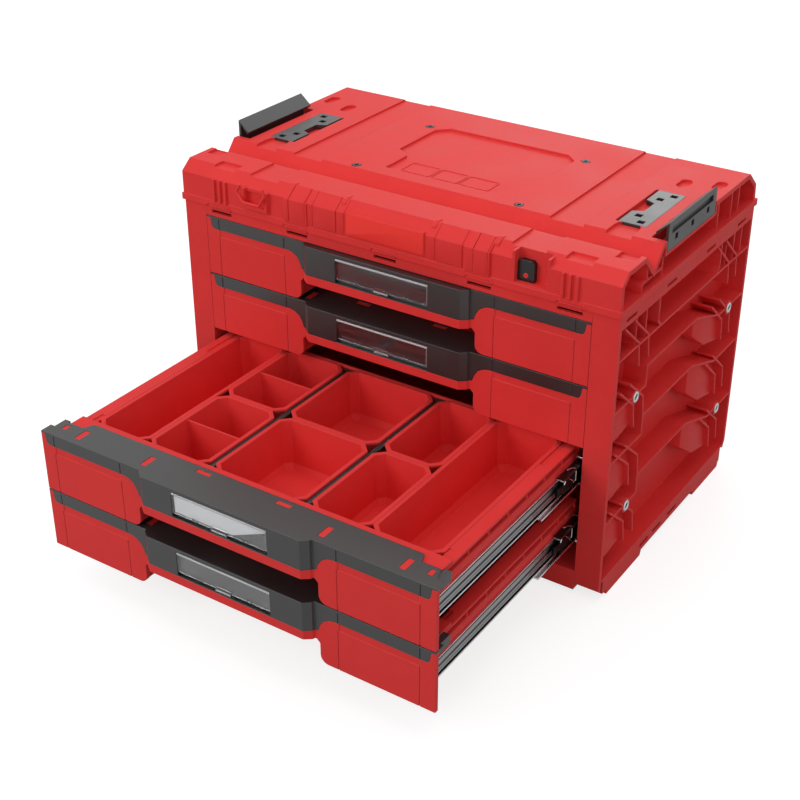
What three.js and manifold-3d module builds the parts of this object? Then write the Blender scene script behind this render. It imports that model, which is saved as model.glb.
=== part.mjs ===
// Modular drawer toolbox with four drawers, drawn with the two lower drawers pulled out.
// Millimetres, X to the right, Y to the back, Z up, origin on the floor under the middle of the cabinet.
import * as THREE from 'three';
import { mergeVertices } from 'three/addons/utils/BufferGeometryUtils.js';
import Module from 'manifold-3d';

const wasm = await Module();
wasm.setup();

// Clearances
const seam = 0.3;
const overrun = 2;
const drawerSideGap = 0.7;
const gridSteps = 512;

// Sides
const right = 1;
const left = -1;

const half = (size) => size / 2;

// Cabinet
const cabinetWidth = 581;
const cabinetDepth = 364;
const deckHeight = 412;
const coverHeight = 48;
const sideThickness = 31.5;
const railDrop = 13.5;
const footHeight = 7;
const bayFloor = 33;
const halfWidth = half(cabinetWidth);
const frontY = -half(cabinetDepth);
const backY = half(cabinetDepth);
const cabinetTop = deckHeight - coverHeight;
const bayWidth = cabinetWidth - sideThickness - sideThickness;
const bayHalf = half(bayWidth);
const bayTop = cabinetTop - railDrop;
const framePlate = 5;
const sideWall = 3.5;
const ribThickness = 2.5;
const rearCornerHeight = 25;
const rearCornerDepth = 13;
const frontToeHeight = 10;
const frontToeDepth = 11;

// Clip rail along the top of each side panel
const clipRailHeight = 16;
const clipRailThickness = 3;
const clipRailSlotLength = 26;
const clipRailSlotHeight = 4;
const clipRailSlotDrop = 7;
const clipRailShares = [0.077, 0.353, 0.6475, 0.9];

// Side panel ribs
const shelfHeightShares = [0.074, 0.291, 0.508, 0.681, 0.854];
const shelfRise = 25;
const frontShelfShare = 0.223;
const raisedEndShare = 0.593;
const rampEndShare = 0.79;
const bracketFrontShares = [0.04, 0.106, 0.716, 0.782];
const bracketRun = 38;
const bracketFall = 32;
const bracketLeg = 30;
const bracketLegLean = 5;
const gripStartShare = 0.275;
const gripEndShare = 0.742;
const gripCorner = 8;
const topRibShares = [0.132, 0.2, 0.8, 0.866, 0.93];
const bossRadius = 9;
const bossCount = 12;
const bossFrontShare = 0.152;
const bossRearShare = 0.868;
const bossHeightShares = [0.676, 0.286];
const skirtThickness = 3;
const skirtSlotLength = 24;
const skirtSlotHeight = 5;
const skirtSlotShares = [0.33, 0.43, 0.55];
const footShares = [[0.052, 0.316], [0.722, 0.96]];

// Base
const basePlate = 3;
const baseRib = 2.5;
const baseCellsAcross = 10;
const baseCellsDeep = 7;
const centrePad = 60;
const baseFootWidth = 30;
const baseFootLength = 40;
const baseFootInset = 4;

// Back panel
const backPlate = 3;
const backRibProud = 2.5;
const backRibWidth = 5;
const backRibCount = 5;

// Top cover
const coverWall = 5.5;
const flangeThickness = 8;
const flangeOverhang = 2;
const flangeRearOverhang = 3;
const bandProud = 2;
const bandHeight = 28;
const stripDepth = 41;
const stripChamfer = 15;
const valleyFall = 23;
const valleyFrontRun = 22;
const valleyRearRun = 20;
const deckRearChamfer = 24;
const deckRearFall = 20;
const deckRearInset = 3;
const coverWeb = 3;
const coverWebInset = 28.5;
const coverWebPlace = halfWidth - coverWebInset;
const coverRibShares = [0.28, 0.69, 0.8, 0.86];
const coverRibInset = 3;
const grooveInset = 94.5;
const grooveWidth = 41;
const grooveOuter = halfWidth - grooveInset;
const grooveInner = grooveOuter - grooveWidth;
const grooveDepth = 2.5;
const recessWidth = 197;
const recessNeck = 156;
const recessRear = 92;
const recessShoulder = -4;
const recessFront = -65;
const recessChamfer = 15;
const recessDepth = 3;
const coverScrewAcross = 221;
const coverScrewFront = -78;
const coverScrewRear = 84;
const screwPocketRadius = 6;
const screwPocketDepth = 1.5;
const screwPocketSides = 16;
const deckSlotWidth = 14;
const deckSlotLength = 28;
const deckSlotDepth = 3.5;
const deckSlotInsets = [[52.5, 98], [15.5, 82]];
const moonWidth = 30;
const moonLength = 34;
const moonInset = 52.5;
const stripPocketInset = 40.5;
const stripPocketWidth = 31;
const stripPocketOuter = halfWidth - stripPocketInset;
const stripPocketInner = stripPocketOuter - stripPocketWidth;
const stripPocketDepth = 6;
const cornerSlotInset = 6.5;
const cornerSlotWidth = 22;
const cornerSlotOuter = halfWidth - cornerSlotInset;
const cornerSlotInner = cornerSlotOuter - cornerSlotWidth;
const cornerSlotLength = 17;
const roundSteps = 6;

// Front band of the top cover
const bandRibWidth = 3;
const bandRibProud = 3;
const bandRibInsets = [66.5, 58, 49.5];
const bandStepProud = 2;
const bandStepShares = [0.3614, 0.4682];
const badgeWidth = 104;
const badgeShift = 2;
const badgeLeft = badgeShift - half(badgeWidth);
const badgeRight = badgeShift + half(badgeWidth);
const badgeProud = 1.5;
const badgeRise = 3;
const loopInset = 93.5;
const loopWidth = 37;
const loopHeight = 24;
const loopDrop = 12;
const loopBar = 4;
const loopProud = 5;
const loopLeft = loopInset - halfWidth;
const loopRight = loopLeft + loopWidth;
const loopTop = deckHeight - loopDrop;
const loopBottom = loopTop - loopHeight;
const lockPocketInset = 124.5;
const lockPocketWidth = 39;
const lockPocketDepth = 13;
const lockPocketRise = 2;
const lockPocketWall = 3;
const lockPocketLeft = halfWidth - lockPocketInset;
const lockPocketRight = lockPocketLeft + lockPocketWidth;
const lockPocketFloor = cabinetTop + flangeThickness + lockPocketRise;
const clipShares = [-0.807, -0.421, 0, 0.421, 0.8];
const clipLength = 30;
const clipSlotHeight = 4;
const clipDrop = 9;
const clipLipGap = 3;
const clipLipProud = 2;

// Central lock slider
const lockTabWidth = 20;
const lockTabHeight = 24;
const lockTabThickness = 6;
const lockTabHole = 2.6;
const lockTabHoleShare = 0.28;
const lockTabCorner = 3;

// Stacking latches
const latchFront = -76;
const latchLength = 128;
const latchRise = 19.5;
const latchSink = 14;
const latchTop = deckHeight + latchRise;
const latchBottom = deckHeight - latchSink;
const latchPlate = 3;
const latchReach = 15;
const latchHookFall = 13;
const latchSlotHeight = 8;
const latchSlotInset = 9;
const latchSlotDrop = 7;
const latchHoleSize = 7;
const latchHoleShares = [0.17, 0.5, 0.83];
const latchSeatWidth = 19;
const latchSeatGap = 2;
const latchSeatWall = 3;

// Deck lock plates
const plateInset = 68;
const plateInner = halfWidth - plateInset;
const plateWidth = 33;
const plateFront = -57;
const plateLength = 106;
const plateThickness = 6;
const plateGap = 3.5;
const plateNotchLength = 38;
const plateNotchDepth = 12;
const plateHole = 8;
const plateHoleDepth = 4;
const plateHoleShares = [0.09, 0.24, 0.76, 0.91];
const plateHoleOffsets = [6, -4, -4, 6];
const plateCupWall = 3;

// Drawers
const drawerCount = 4;
const lowestDrawerRise = 12;
const highestDrawerRise = 0.5;
const drawerGap = 1.2;
const lowestDrawer = bayFloor + lowestDrawerRise;
const drawerPitch = (bayTop + highestDrawerRise - lowestDrawer) / drawerCount;
const drawerHeight = drawerPitch - drawerGap;
const drawerHalf = bayHalf - drawerSideGap;
const openTravel = 295;
const openDrawers = [3, 4];
const fasciaPlate = 5;
const blockHeight = 36.3;
const lipThickness = 10.5;
const lipHeight = drawerHeight - blockHeight - lipThickness;
const blockProud = 9;
const blockHalf = 104;
const blockShoulder = 112;
const blockRoot = 113;
const blockShoulderProud = 3;
const panelInner = 119;
const panelCorner = 10;
const panelFillet = 4;
const trimBand = 15.8;
const riseStart = 137;
const riseSpanShares = [[0.27, 0.07], [0.55, 0.27], [0.73, 0.6], [0.82, 0.95]];
const hornWidth = 5;
const hornRun = 6;
const hornInset = 2.3;
const hornSpanShares = [[0.45, 0.08], [0.75, 0.4], [0.9, 0.85]];
const seamGroove = 1.2;
const seamGrooveDepth = 1;
const seamRun = 23;
const seamInset = 18.3;
const seamPlaces = [panelInner + seamRun, drawerHalf - seamInset];
const panelStep = 0.8;
const panelStepMargin = 9;

// Drawer trim
const trimPlate = 2;
const trimDepth = 41;
const trimWingDepth = 29;
const trimTipDepth = 15;
const trimWingRoom = 40.3;
const trimWingWidth = 27;
const trimWingStart = drawerHalf - trimWingRoom;
const trimWingEnd = trimWingStart + trimWingWidth;
const trimWingSlope = 5;
const tabDepth = 18;
const innerTabPlace = 117;
const outerTabInset = 45.3;
const tabLength = 18;
const tabWidth = 7;
const crossTabPlace = 53;
const crossTabDepth = 33;
const endTabInset = 18.3;
const endTabDepth = 20;
const endTabLength = 9;
const tabSink = 0.4;
const trimHookInset = 4.3;
const trimHookWidth = 7.5;
const trimHookOuter = drawerHalf - trimHookInset;
const trimHookInner = trimHookOuter - trimHookWidth;
const trimHookLength = 28;
const trimHookHeight = 10;

// Label cover
const labelWidth = 125;
const labelHeight = 24;
const labelThickness = 1.6;
const labelDrop = 4.5;
const labelPocketDepth = 5;
const labelTabWidth = 22;
const labelTabHeight = 3;
const labelHingeRadius = 1.6;
const labelHingeSides = 10;

// Drawer tub
const tubSideRoom = 30;
const tubRearRoom = 49;
const tubInnerWidth = bayWidth - tubSideRoom - tubSideRoom;
const tubWall = 3;
const tubFloor = 2.5;
const tubDrop = 3.5;
const tubTopRoom = 6.3;
const tubHeight = drawerHeight - tubTopRoom;
const tubFrontPlace = 47.5;
const tubInnerDepth = cabinetDepth - tubFrontPlace - tubWall - tubRearRoom;
const tubFlangeWidth = 15.5;
const tubFlangeThickness = 3;
const tubBridge = 3;
const tubFingerWall = 122;
const tubSeatWall = 2.5;
const tubSeatRibCount = 5;
const tubUpperRibCount = 7;
const tubUpperRibReach = 8;
const tubRebateWidth = 6;
const tubRebateShares = [[0, 0.076], [0.76, 1]];

// Bins of the third drawer
const binGap = 0.5;
const stripThickness = 6;
const stripDrop = 2.7;
const stripHead = 14;
const stripHeadDepth = 4;
const stripHeadHeight = 8;
const columnShares = [
  { piece: 'long_bin_left', widthShare: 75 },
  { piece: 'divided_bin', widthShare: 85, rows: true, divided: true },
  { piece: 'divider_strip_left' },
  { piece: 'wide_bin', widthShare: 121.5, rows: true },
  { piece: 'divider_strip_right' },
  { piece: 'medium_bin', widthShare: 75.5, rows: true },
  { piece: 'long_bin_right', widthShare: 85 },
];
const binWall = 1.8;
const binRimWidth = 4.5;
const binRimHeight = 3;
const binDraft = 3;
const binFloor = 2;
const binCorner = 11;
const binCoveHeight = 6;
const binCoveRun = 5;
const binDivider = 2;
const binDividerDrop = 2;

// Slides
const slideDrop = 27;
const slideCentre = tubHeight - slideDrop;
const slideHeight = 36;
const slideLip = 2.2;
const slideWeb = 1.5;
const slideStart = 6;
const slideRearRoom = 40;
const slideLength = cabinetDepth - slideStart - slideRearRoom;
const slideReach = 10;
const drawerMemberReach = 8;

const bandFront = frontY - bandProud;
const flangeTop = cabinetTop + flangeThickness;
const alongSide = (share) => frontY + share * cabinetDepth;
const upSide = (share) => share * cabinetTop;

// Colours
const red = new THREE.MeshStandardMaterial({ color: 0xc9272c, roughness: 0.42, metalness: 0 });
const charcoal = new THREE.MeshStandardMaterial({ color: 0x35373a, roughness: 0.5, metalness: 0 });
const clear = new THREE.MeshStandardMaterial({ color: 0xb9bec2, roughness: 0.12, metalness: 0 });
const steel = new THREE.MeshStandardMaterial({ color: 0xb4b7ba, roughness: 0.25, metalness: 1 });

// Solid from a closed geometry.
function toSolid(geometry) {
  const bare = geometry.clone();
  bare.deleteAttribute('normal');
  bare.deleteAttribute('uv');
  const merged = mergeVertices(bare);
  const places = merged.attributes.position.array;
  const snapped = Array.from(places, (value) => Math.round(value * gridSteps) / gridSteps);
  return new wasm.Manifold(new wasm.Mesh({
    numProp: 3,
    vertProperties: new Float32Array(snapped),
    triVerts: new Uint32Array(merged.index.array),
  }));
}

// Geometry from a solid, on its own side or mirrored to the other side of the middle plane.
function toGeometry(solid, side) {
  const mesh = solid.getMesh();
  const corners = side === left ? mesh.triVerts.toReversed() : mesh.triVerts;
  const geometry = new THREE.BufferGeometry();
  geometry.setAttribute('position', new THREE.BufferAttribute(new Float32Array(mesh.vertProperties), 3));
  geometry.setIndex(new THREE.BufferAttribute(new Uint32Array(corners), 1));
  geometry.scale(side, 1, 1);
  const flat = geometry.toNonIndexed();
  flat.computeVertexNormals();
  return flat;
}

// Solid whose faces that lie in one plane are one face again.
const joinFaces = (solid) => solid.asOriginal().simplify();
const fuse = (solids) => solids.reduce((whole, next) => joinFaces(whole.add(next)));
const carve = (solid, cutters) => cutters.reduce((whole, next) => joinFaces(whole.subtract(next)), solid);

// Box between two corners.
function slab(x0, x1, y0, y1, z0, z1) {
  const box = new THREE.BoxGeometry(x1 - x0, y1 - y0, z1 - z0);
  box.translate(half(x0 + x1), half(y0 + y1), half(z0 + z1));
  return toSolid(box);
}

// Box that is the same on the left and on the right.
const bothSides = (x0, x1, y0, y1, z0, z1) => [
  slab(x0, x1, y0, y1, z0, z1),
  slab(-x1, -x0, y0, y1, z0, z1),
];

// Outline turned so that its area is positive.
function counterClockwise(points) {
  const vectors = points.map(([a, b]) => new THREE.Vector2(a, b));
  return THREE.ShapeUtils.isClockWise(vectors) ? vectors.reverse() : vectors;
}

// Outline pushed along an axis: yz along X, xz along Y, xy along Z.
function prism(axis, points, start, end) {
  const shape = new THREE.Shape(counterClockwise(points));
  const geometry = new THREE.ExtrudeGeometry(shape, { depth: end - start, bevelEnabled: false });
  geometry.translate(0, 0, start);
  const matrix = new THREE.Matrix4();
  if (axis === 'x') {
    matrix.set(0, 0, 1, 0, 1, 0, 0, 0, 0, 1, 0, 0, 0, 0, 0, 1);
  }
  if (axis === 'y') {
    matrix.set(1, 0, 0, 0, 0, 0, -1, 0, 0, 1, 0, 0, 0, 0, 0, 1);
    geometry.translate(0, 0, -start - end);
  }
  geometry.applyMatrix4(matrix);
  return toSolid(geometry);
}

// Points of an arc in degrees.
function arc(centreA, centreB, radius, from, to, steps) {
  return Array.from({ length: steps + 1 }, (_, step) => {
    const angle = THREE.MathUtils.degToRad(from + (to - from) * (step / steps));
    return [centreA + radius * Math.cos(angle), centreB + radius * Math.sin(angle)];
  });
}

// Line moved sideways by a distance, to its left when the distance is positive.
function offsetLine(points, distance) {
  const vectors = points.map(([a, b]) => new THREE.Vector2(a, b));
  const normals = vectors.slice(1).map((point, index) => {
    const run = point.clone().sub(vectors[index]).normalize();
    return new THREE.Vector2(-run.y, run.x);
  });
  return vectors.map((point, index) => {
    const before = normals[Math.max(index - 1, 0)];
    const after = normals[Math.min(index, normals.length - 1)];
    const middle = before.clone().add(after).normalize();
    const reach = distance / Math.max(middle.dot(before), Math.SQRT1_2);
    return [point.x + middle.x * reach, point.y + middle.y * reach];
  });
}

// Thin wall that follows a line, for a rib seen from its end.
function ribbon(axis, points, thickness, start, end) {
  const near = offsetLine(points, half(thickness));
  const far = offsetLine(points, -half(thickness)).reverse();
  return prism(axis, [...near, ...far], start, end);
}

// Solid between stacked outlines with the same number of points.
function loft(levels) {
  const count = levels[0].points.length;
  const positions = levels.flatMap(({ points, z }) => points.flatMap(([x, y]) => [x, y, z]));
  const index = [];
  for (let level = 0; level < levels.length - 1; level += 1) {
    for (let point = 0; point < count; point += 1) {
      const next = (point + 1) % count;
      const a = level * count + point;
      const b = level * count + next;
      index.push(a, b, b + count, a, b + count, a + count);
    }
  }
  const last = (levels.length - 1) * count;
  for (let point = 1; point < count - 1; point += 1) {
    index.push(0, point + 1, point);
    index.push(last, last + point, last + point + 1);
  }
  const geometry = new THREE.BufferGeometry();
  geometry.setAttribute('position', new THREE.Float32BufferAttribute(positions, 3));
  geometry.setIndex(index);
  return toSolid(geometry);
}

// Rectangle with its corners cut off.
function cutCornerOutline(x0, x1, y0, y1, corner) {
  return [
    [x0 + corner, y0], [x1 - corner, y0], [x1, y0 + corner], [x1, y1 - corner],
    [x1 - corner, y1], [x0 + corner, y1], [x0, y1 - corner], [x0, y0 + corner],
  ];
}

// Slot with two round ends, long in Y.
function slotOutline(centreX, centreY, width, length) {
  const radius = half(width);
  const straight = half(length) - radius;
  return [
    ...arc(centreX, centreY + straight, radius, 0, 180, roundSteps),
    ...arc(centreX, centreY - straight, radius, 180, 360, roundSteps),
  ];
}

const model = new THREE.Group();
model.name = 'modular_drawer_toolbox';

// Adds one named piece to the model.
function place(name, solid, material, side = right) {
  const mesh = new THREE.Mesh(toGeometry(solid, side), material);
  mesh.name = name;
  model.add(mesh);
}

// Adds a piece on the right and its mirrored twin on the left.
function placePair(name, solid, material) {
  place(`${name}_right`, solid, material);
  place(`${name}_left`, solid, material, left);
}

// Side panel, drawn on the right and mirrored for the left.
function sidePanel() {
  const outer = halfWidth;
  const inner = bayHalf;
  const wallOuter = inner + sideWall;
  const top = cabinetTop - seam;
  const outline = [
    [frontY, footHeight + frontToeHeight], [frontY + frontToeDepth, footHeight],
    [backY - rearCornerDepth, footHeight], [backY, footHeight + rearCornerHeight],
    [backY, top], [frontY, top],
  ];
  const block = prism('x', outline, inner, outer);
  const shell = carve(block, [
    slab(wallOuter, outer + overrun, frontY + framePlate, backY - framePlate, 0, top - framePlate),
  ]);
  const parts = [];
  const shelves = shelfHeightShares.map(upSide);
  const shelfEnd = backY - half(framePlate);
  const shelfStart = frontY + half(framePlate);
  shelves.forEach((height, index) => {
    const straight = index === 0 || index === shelves.length - 1;
    const line = straight
      ? [[shelfStart, height], [shelfEnd, height]]
      : [
        [shelfStart, height],
        [alongSide(frontShelfShare), height],
        [alongSide(frontShelfShare), height + shelfRise],
        [alongSide(raisedEndShare), height + shelfRise],
        [alongSide(rampEndShare), height],
        [shelfEnd, height],
      ];
    parts.push(ribbon('x', line, ribThickness, wallOuter - half(sideWall), outer));
  });
  for (let level = 0; level < drawerCount; level += 1) {
    const knee = lowestDrawer + (level + 1) * drawerPitch - shelfRise - half(shelfRise);
    bracketFrontShares.forEach((share) => {
      const start = alongSide(share);
      const line = [
        [start, Math.min(knee + bracketFall, top - half(framePlate))], [start + bracketRun, knee],
        [start + bracketRun + bracketLegLean, Math.max(knee - bracketLeg, shelves[0])],
      ];
      parts.push(ribbon('x', line, ribThickness, wallOuter - half(sideWall), outer));
    });
  }
  const topShelf = shelves[shelves.length - 1];
  const gripStart = alongSide(gripStartShare);
  const gripEnd = alongSide(gripEndShare);
  const gripLine = [
    [gripStart, top - half(framePlate)],
    [gripStart, topShelf + gripCorner],
    [gripStart + gripCorner, topShelf],
    [gripEnd - gripCorner, topShelf],
    [gripEnd, topShelf + gripCorner],
    [gripEnd, top - half(framePlate)],
  ];
  parts.push(ribbon('x', gripLine, ribThickness, wallOuter - half(sideWall), outer));
  topRibShares.forEach((share) => {
    const start = alongSide(share) - half(ribThickness);
    parts.push(slab(wallOuter - half(sideWall), outer - ribThickness, start, start + ribThickness,
      topShelf, top - half(framePlate)));
  });
  bossHeightShares.forEach((heightShare) => {
    [bossFrontShare, bossRearShare].forEach((share) => {
      const ring = arc(alongSide(share), upSide(heightShare), bossRadius, 0, 360, bossCount).slice(1);
      parts.push(prism('x', ring, wallOuter - half(sideWall), outer));
    });
  });
  const skirt = carve(
    slab(outer - skirtThickness, outer, frontY + frontToeDepth, backY - rearCornerDepth, footHeight,
      shelves[0]),
    skirtSlotShares.map((share) => slab(outer - skirtThickness - overrun, outer + overrun,
      alongSide(share) - half(skirtSlotLength), alongSide(share) + half(skirtSlotLength),
      footHeight + skirtSlotHeight, footHeight + skirtSlotHeight + skirtSlotHeight)),
  );
  const feet = footShares.map(([from, to]) => {
    const slope = half(footHeight);
    const line = [
      [alongSide(from), footHeight + ribThickness], [alongSide(from) + slope, 0],
      [alongSide(to) - slope, 0], [alongSide(to), footHeight + ribThickness],
    ];
    return prism('x', line, inner, outer);
  });
  const slotTop = top - clipRailSlotDrop;
  const clipRail = carve(
    slab(outer - clipRailThickness, outer, frontY, backY, top - clipRailHeight, top),
    clipRailShares.map((share) => slab(outer - clipRailThickness - overrun, outer + overrun,
      alongSide(share) - half(clipRailSlotLength), alongSide(share) + half(clipRailSlotLength),
      slotTop - clipRailSlotHeight, slotTop)),
  );
  const floorStrip = slab(inner, outer, frontY + frontToeDepth, backY - rearCornerDepth,
    footHeight, footHeight + ribThickness);
  return fuse([shell, ...parts, skirt, clipRail, floorStrip, ...feet]);
}

// Waffle base with a sill in front, four feet and a pad in the middle.
function basePanel() {
  const half0 = bayHalf - seam;
  const tray = slab(-half0, half0, frontY, backY, footHeight, bayFloor);
  const cells = [];
  const cellWide = (bayWidth - baseRib) / baseCellsAcross;
  const cellDeep = (cabinetDepth - baseRib) / baseCellsDeep;
  for (let across = 0; across < baseCellsAcross; across += 1) {
    for (let deep = 0; deep < baseCellsDeep; deep += 1) {
      const x0 = -bayHalf + baseRib + across * cellWide;
      const y0 = frontY + baseRib + deep * cellDeep;
      cells.push(slab(x0, x0 + cellWide - baseRib, y0, y0 + cellDeep - baseRib,
        footHeight - overrun, bayFloor - basePlate));
    }
  }
  const footTop = bayFloor - half(basePlate);
  const pad = slab(-half(centrePad), half(centrePad), -half(centrePad), half(centrePad), 0, footTop);
  const footOuter = half0 - baseFootInset;
  const footFront = frontY + baseFootInset + frontToeDepth;
  const feet = [
    ...bothSides(footOuter - baseFootWidth, footOuter, footFront, footFront + baseFootLength, 0, footTop),
    ...bothSides(footOuter - baseFootWidth, footOuter, -footFront - baseFootLength, -footFront, 0, footTop),
  ];
  return fuse([carve(tray, cells), pad, ...feet]);
}

// Back panel between the side panels.
function backPanel() {
  const half0 = bayHalf - seam;
  const plate = slab(-half0, half0, backY - backRibProud - backPlate, backY - backRibProud,
    bayFloor + seam, cabinetTop - seam);
  const spacing = (half0 + half0 - backRibWidth) / (backRibCount - 1);
  const ribs = Array.from({ length: backRibCount }, (_, index) => {
    const x0 = -half0 + index * spacing;
    return slab(x0, x0 + backRibWidth, backY - backRibProud - backPlate, backY,
      bayFloor + seam, cabinetTop - seam);
  });
  return fuse([plate, ...ribs]);
}

// Outer line of the top cover seen from the side, from the front edge to the back edge.
function coverLine() {
  const stripFront = bandFront + stripChamfer;
  const stripBack = stripFront + stripDepth;
  const valley = stripBack + valleyFrontRun;
  const deckFront = valley + valleyRearRun;
  return [
    [bandFront, cabinetTop], [bandFront, flangeTop + bandHeight], [stripFront, deckHeight],
    [stripBack, deckHeight], [valley, deckHeight - valleyFall], [deckFront, deckHeight],
    [backY - deckRearInset - deckRearChamfer, deckHeight],
    [backY - deckRearInset, deckHeight - deckRearFall], [backY, cabinetTop],
  ];
}

// Front band details of the top cover: ribs, steps, badge plate and loop.
function bandDetails() {
  const bandTop = flangeTop + bandHeight;
  const parts = [];
  bandRibInsets.forEach((inset) => {
    const middle = halfWidth - inset;
    parts.push(...bothSides(middle - half(bandRibWidth), middle + half(bandRibWidth),
      bandFront - bandRibProud, bandFront + bandRibProud, cabinetTop + flangeThickness, bandTop));
  });
  const [stepStart, stepEnd] = bandStepShares.map((share) => share * halfWidth);
  parts.push(...bothSides(stepStart, stepEnd, bandFront - bandStepProud, bandFront + bandStepProud,
    flangeTop, bandTop));
  parts.push(slab(badgeLeft, badgeRight, bandFront - badgeProud, bandFront + badgeProud,
    flangeTop + badgeRise, bandTop + badgeRise));
  const loopFront = bandFront - loopProud;
  parts.push(slab(loopLeft, loopLeft + loopBar, loopFront, bandFront + loopBar, loopBottom, loopTop));
  parts.push(slab(loopRight - loopBar, loopRight, loopFront, bandFront + loopBar, loopBottom, loopTop));
  parts.push(slab(loopLeft, loopRight, loopFront, loopFront + loopBar, loopBottom, loopBottom + loopBar));
  return parts;
}

// Cup under the deck that a lock plate lies in, and the cup's hollow.
function plateCup() {
  const outer = plateInner + plateWidth;
  const bottom = deckHeight - plateThickness - seam - plateCupWall;
  return {
    cup: bothSides(plateInner - plateGap - plateCupWall, outer + seam + plateCupWall,
      plateFront - seam - plateCupWall, plateFront + plateLength + seam + plateCupWall,
      bottom, deckHeight - half(coverWall)),
    hollow: bothSides(plateInner - plateGap, outer + seam, plateFront - seam,
      plateFront + plateLength + seam, bottom + plateCupWall, deckHeight + overrun),
  };
}

// Seat beside the deck that a stacking latch stands on, and the notch above it.
function latchSeat() {
  const inner = halfWidth - latchSeatWidth;
  const seatTop = latchBottom - seam;
  const front = latchFront - latchSeatGap;
  const back = latchFront + latchLength + latchSeatGap;
  return {
    seat: [
      ...bothSides(inner - latchSeatWall, halfWidth, front - latchSeatWall, back + latchSeatWall,
        seatTop - latchSeatWall, deckHeight - half(coverWall)),
    ],
    notch: bothSides(inner, halfWidth + overrun, front, back, seatTop, deckHeight + overrun),
  };
}

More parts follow.
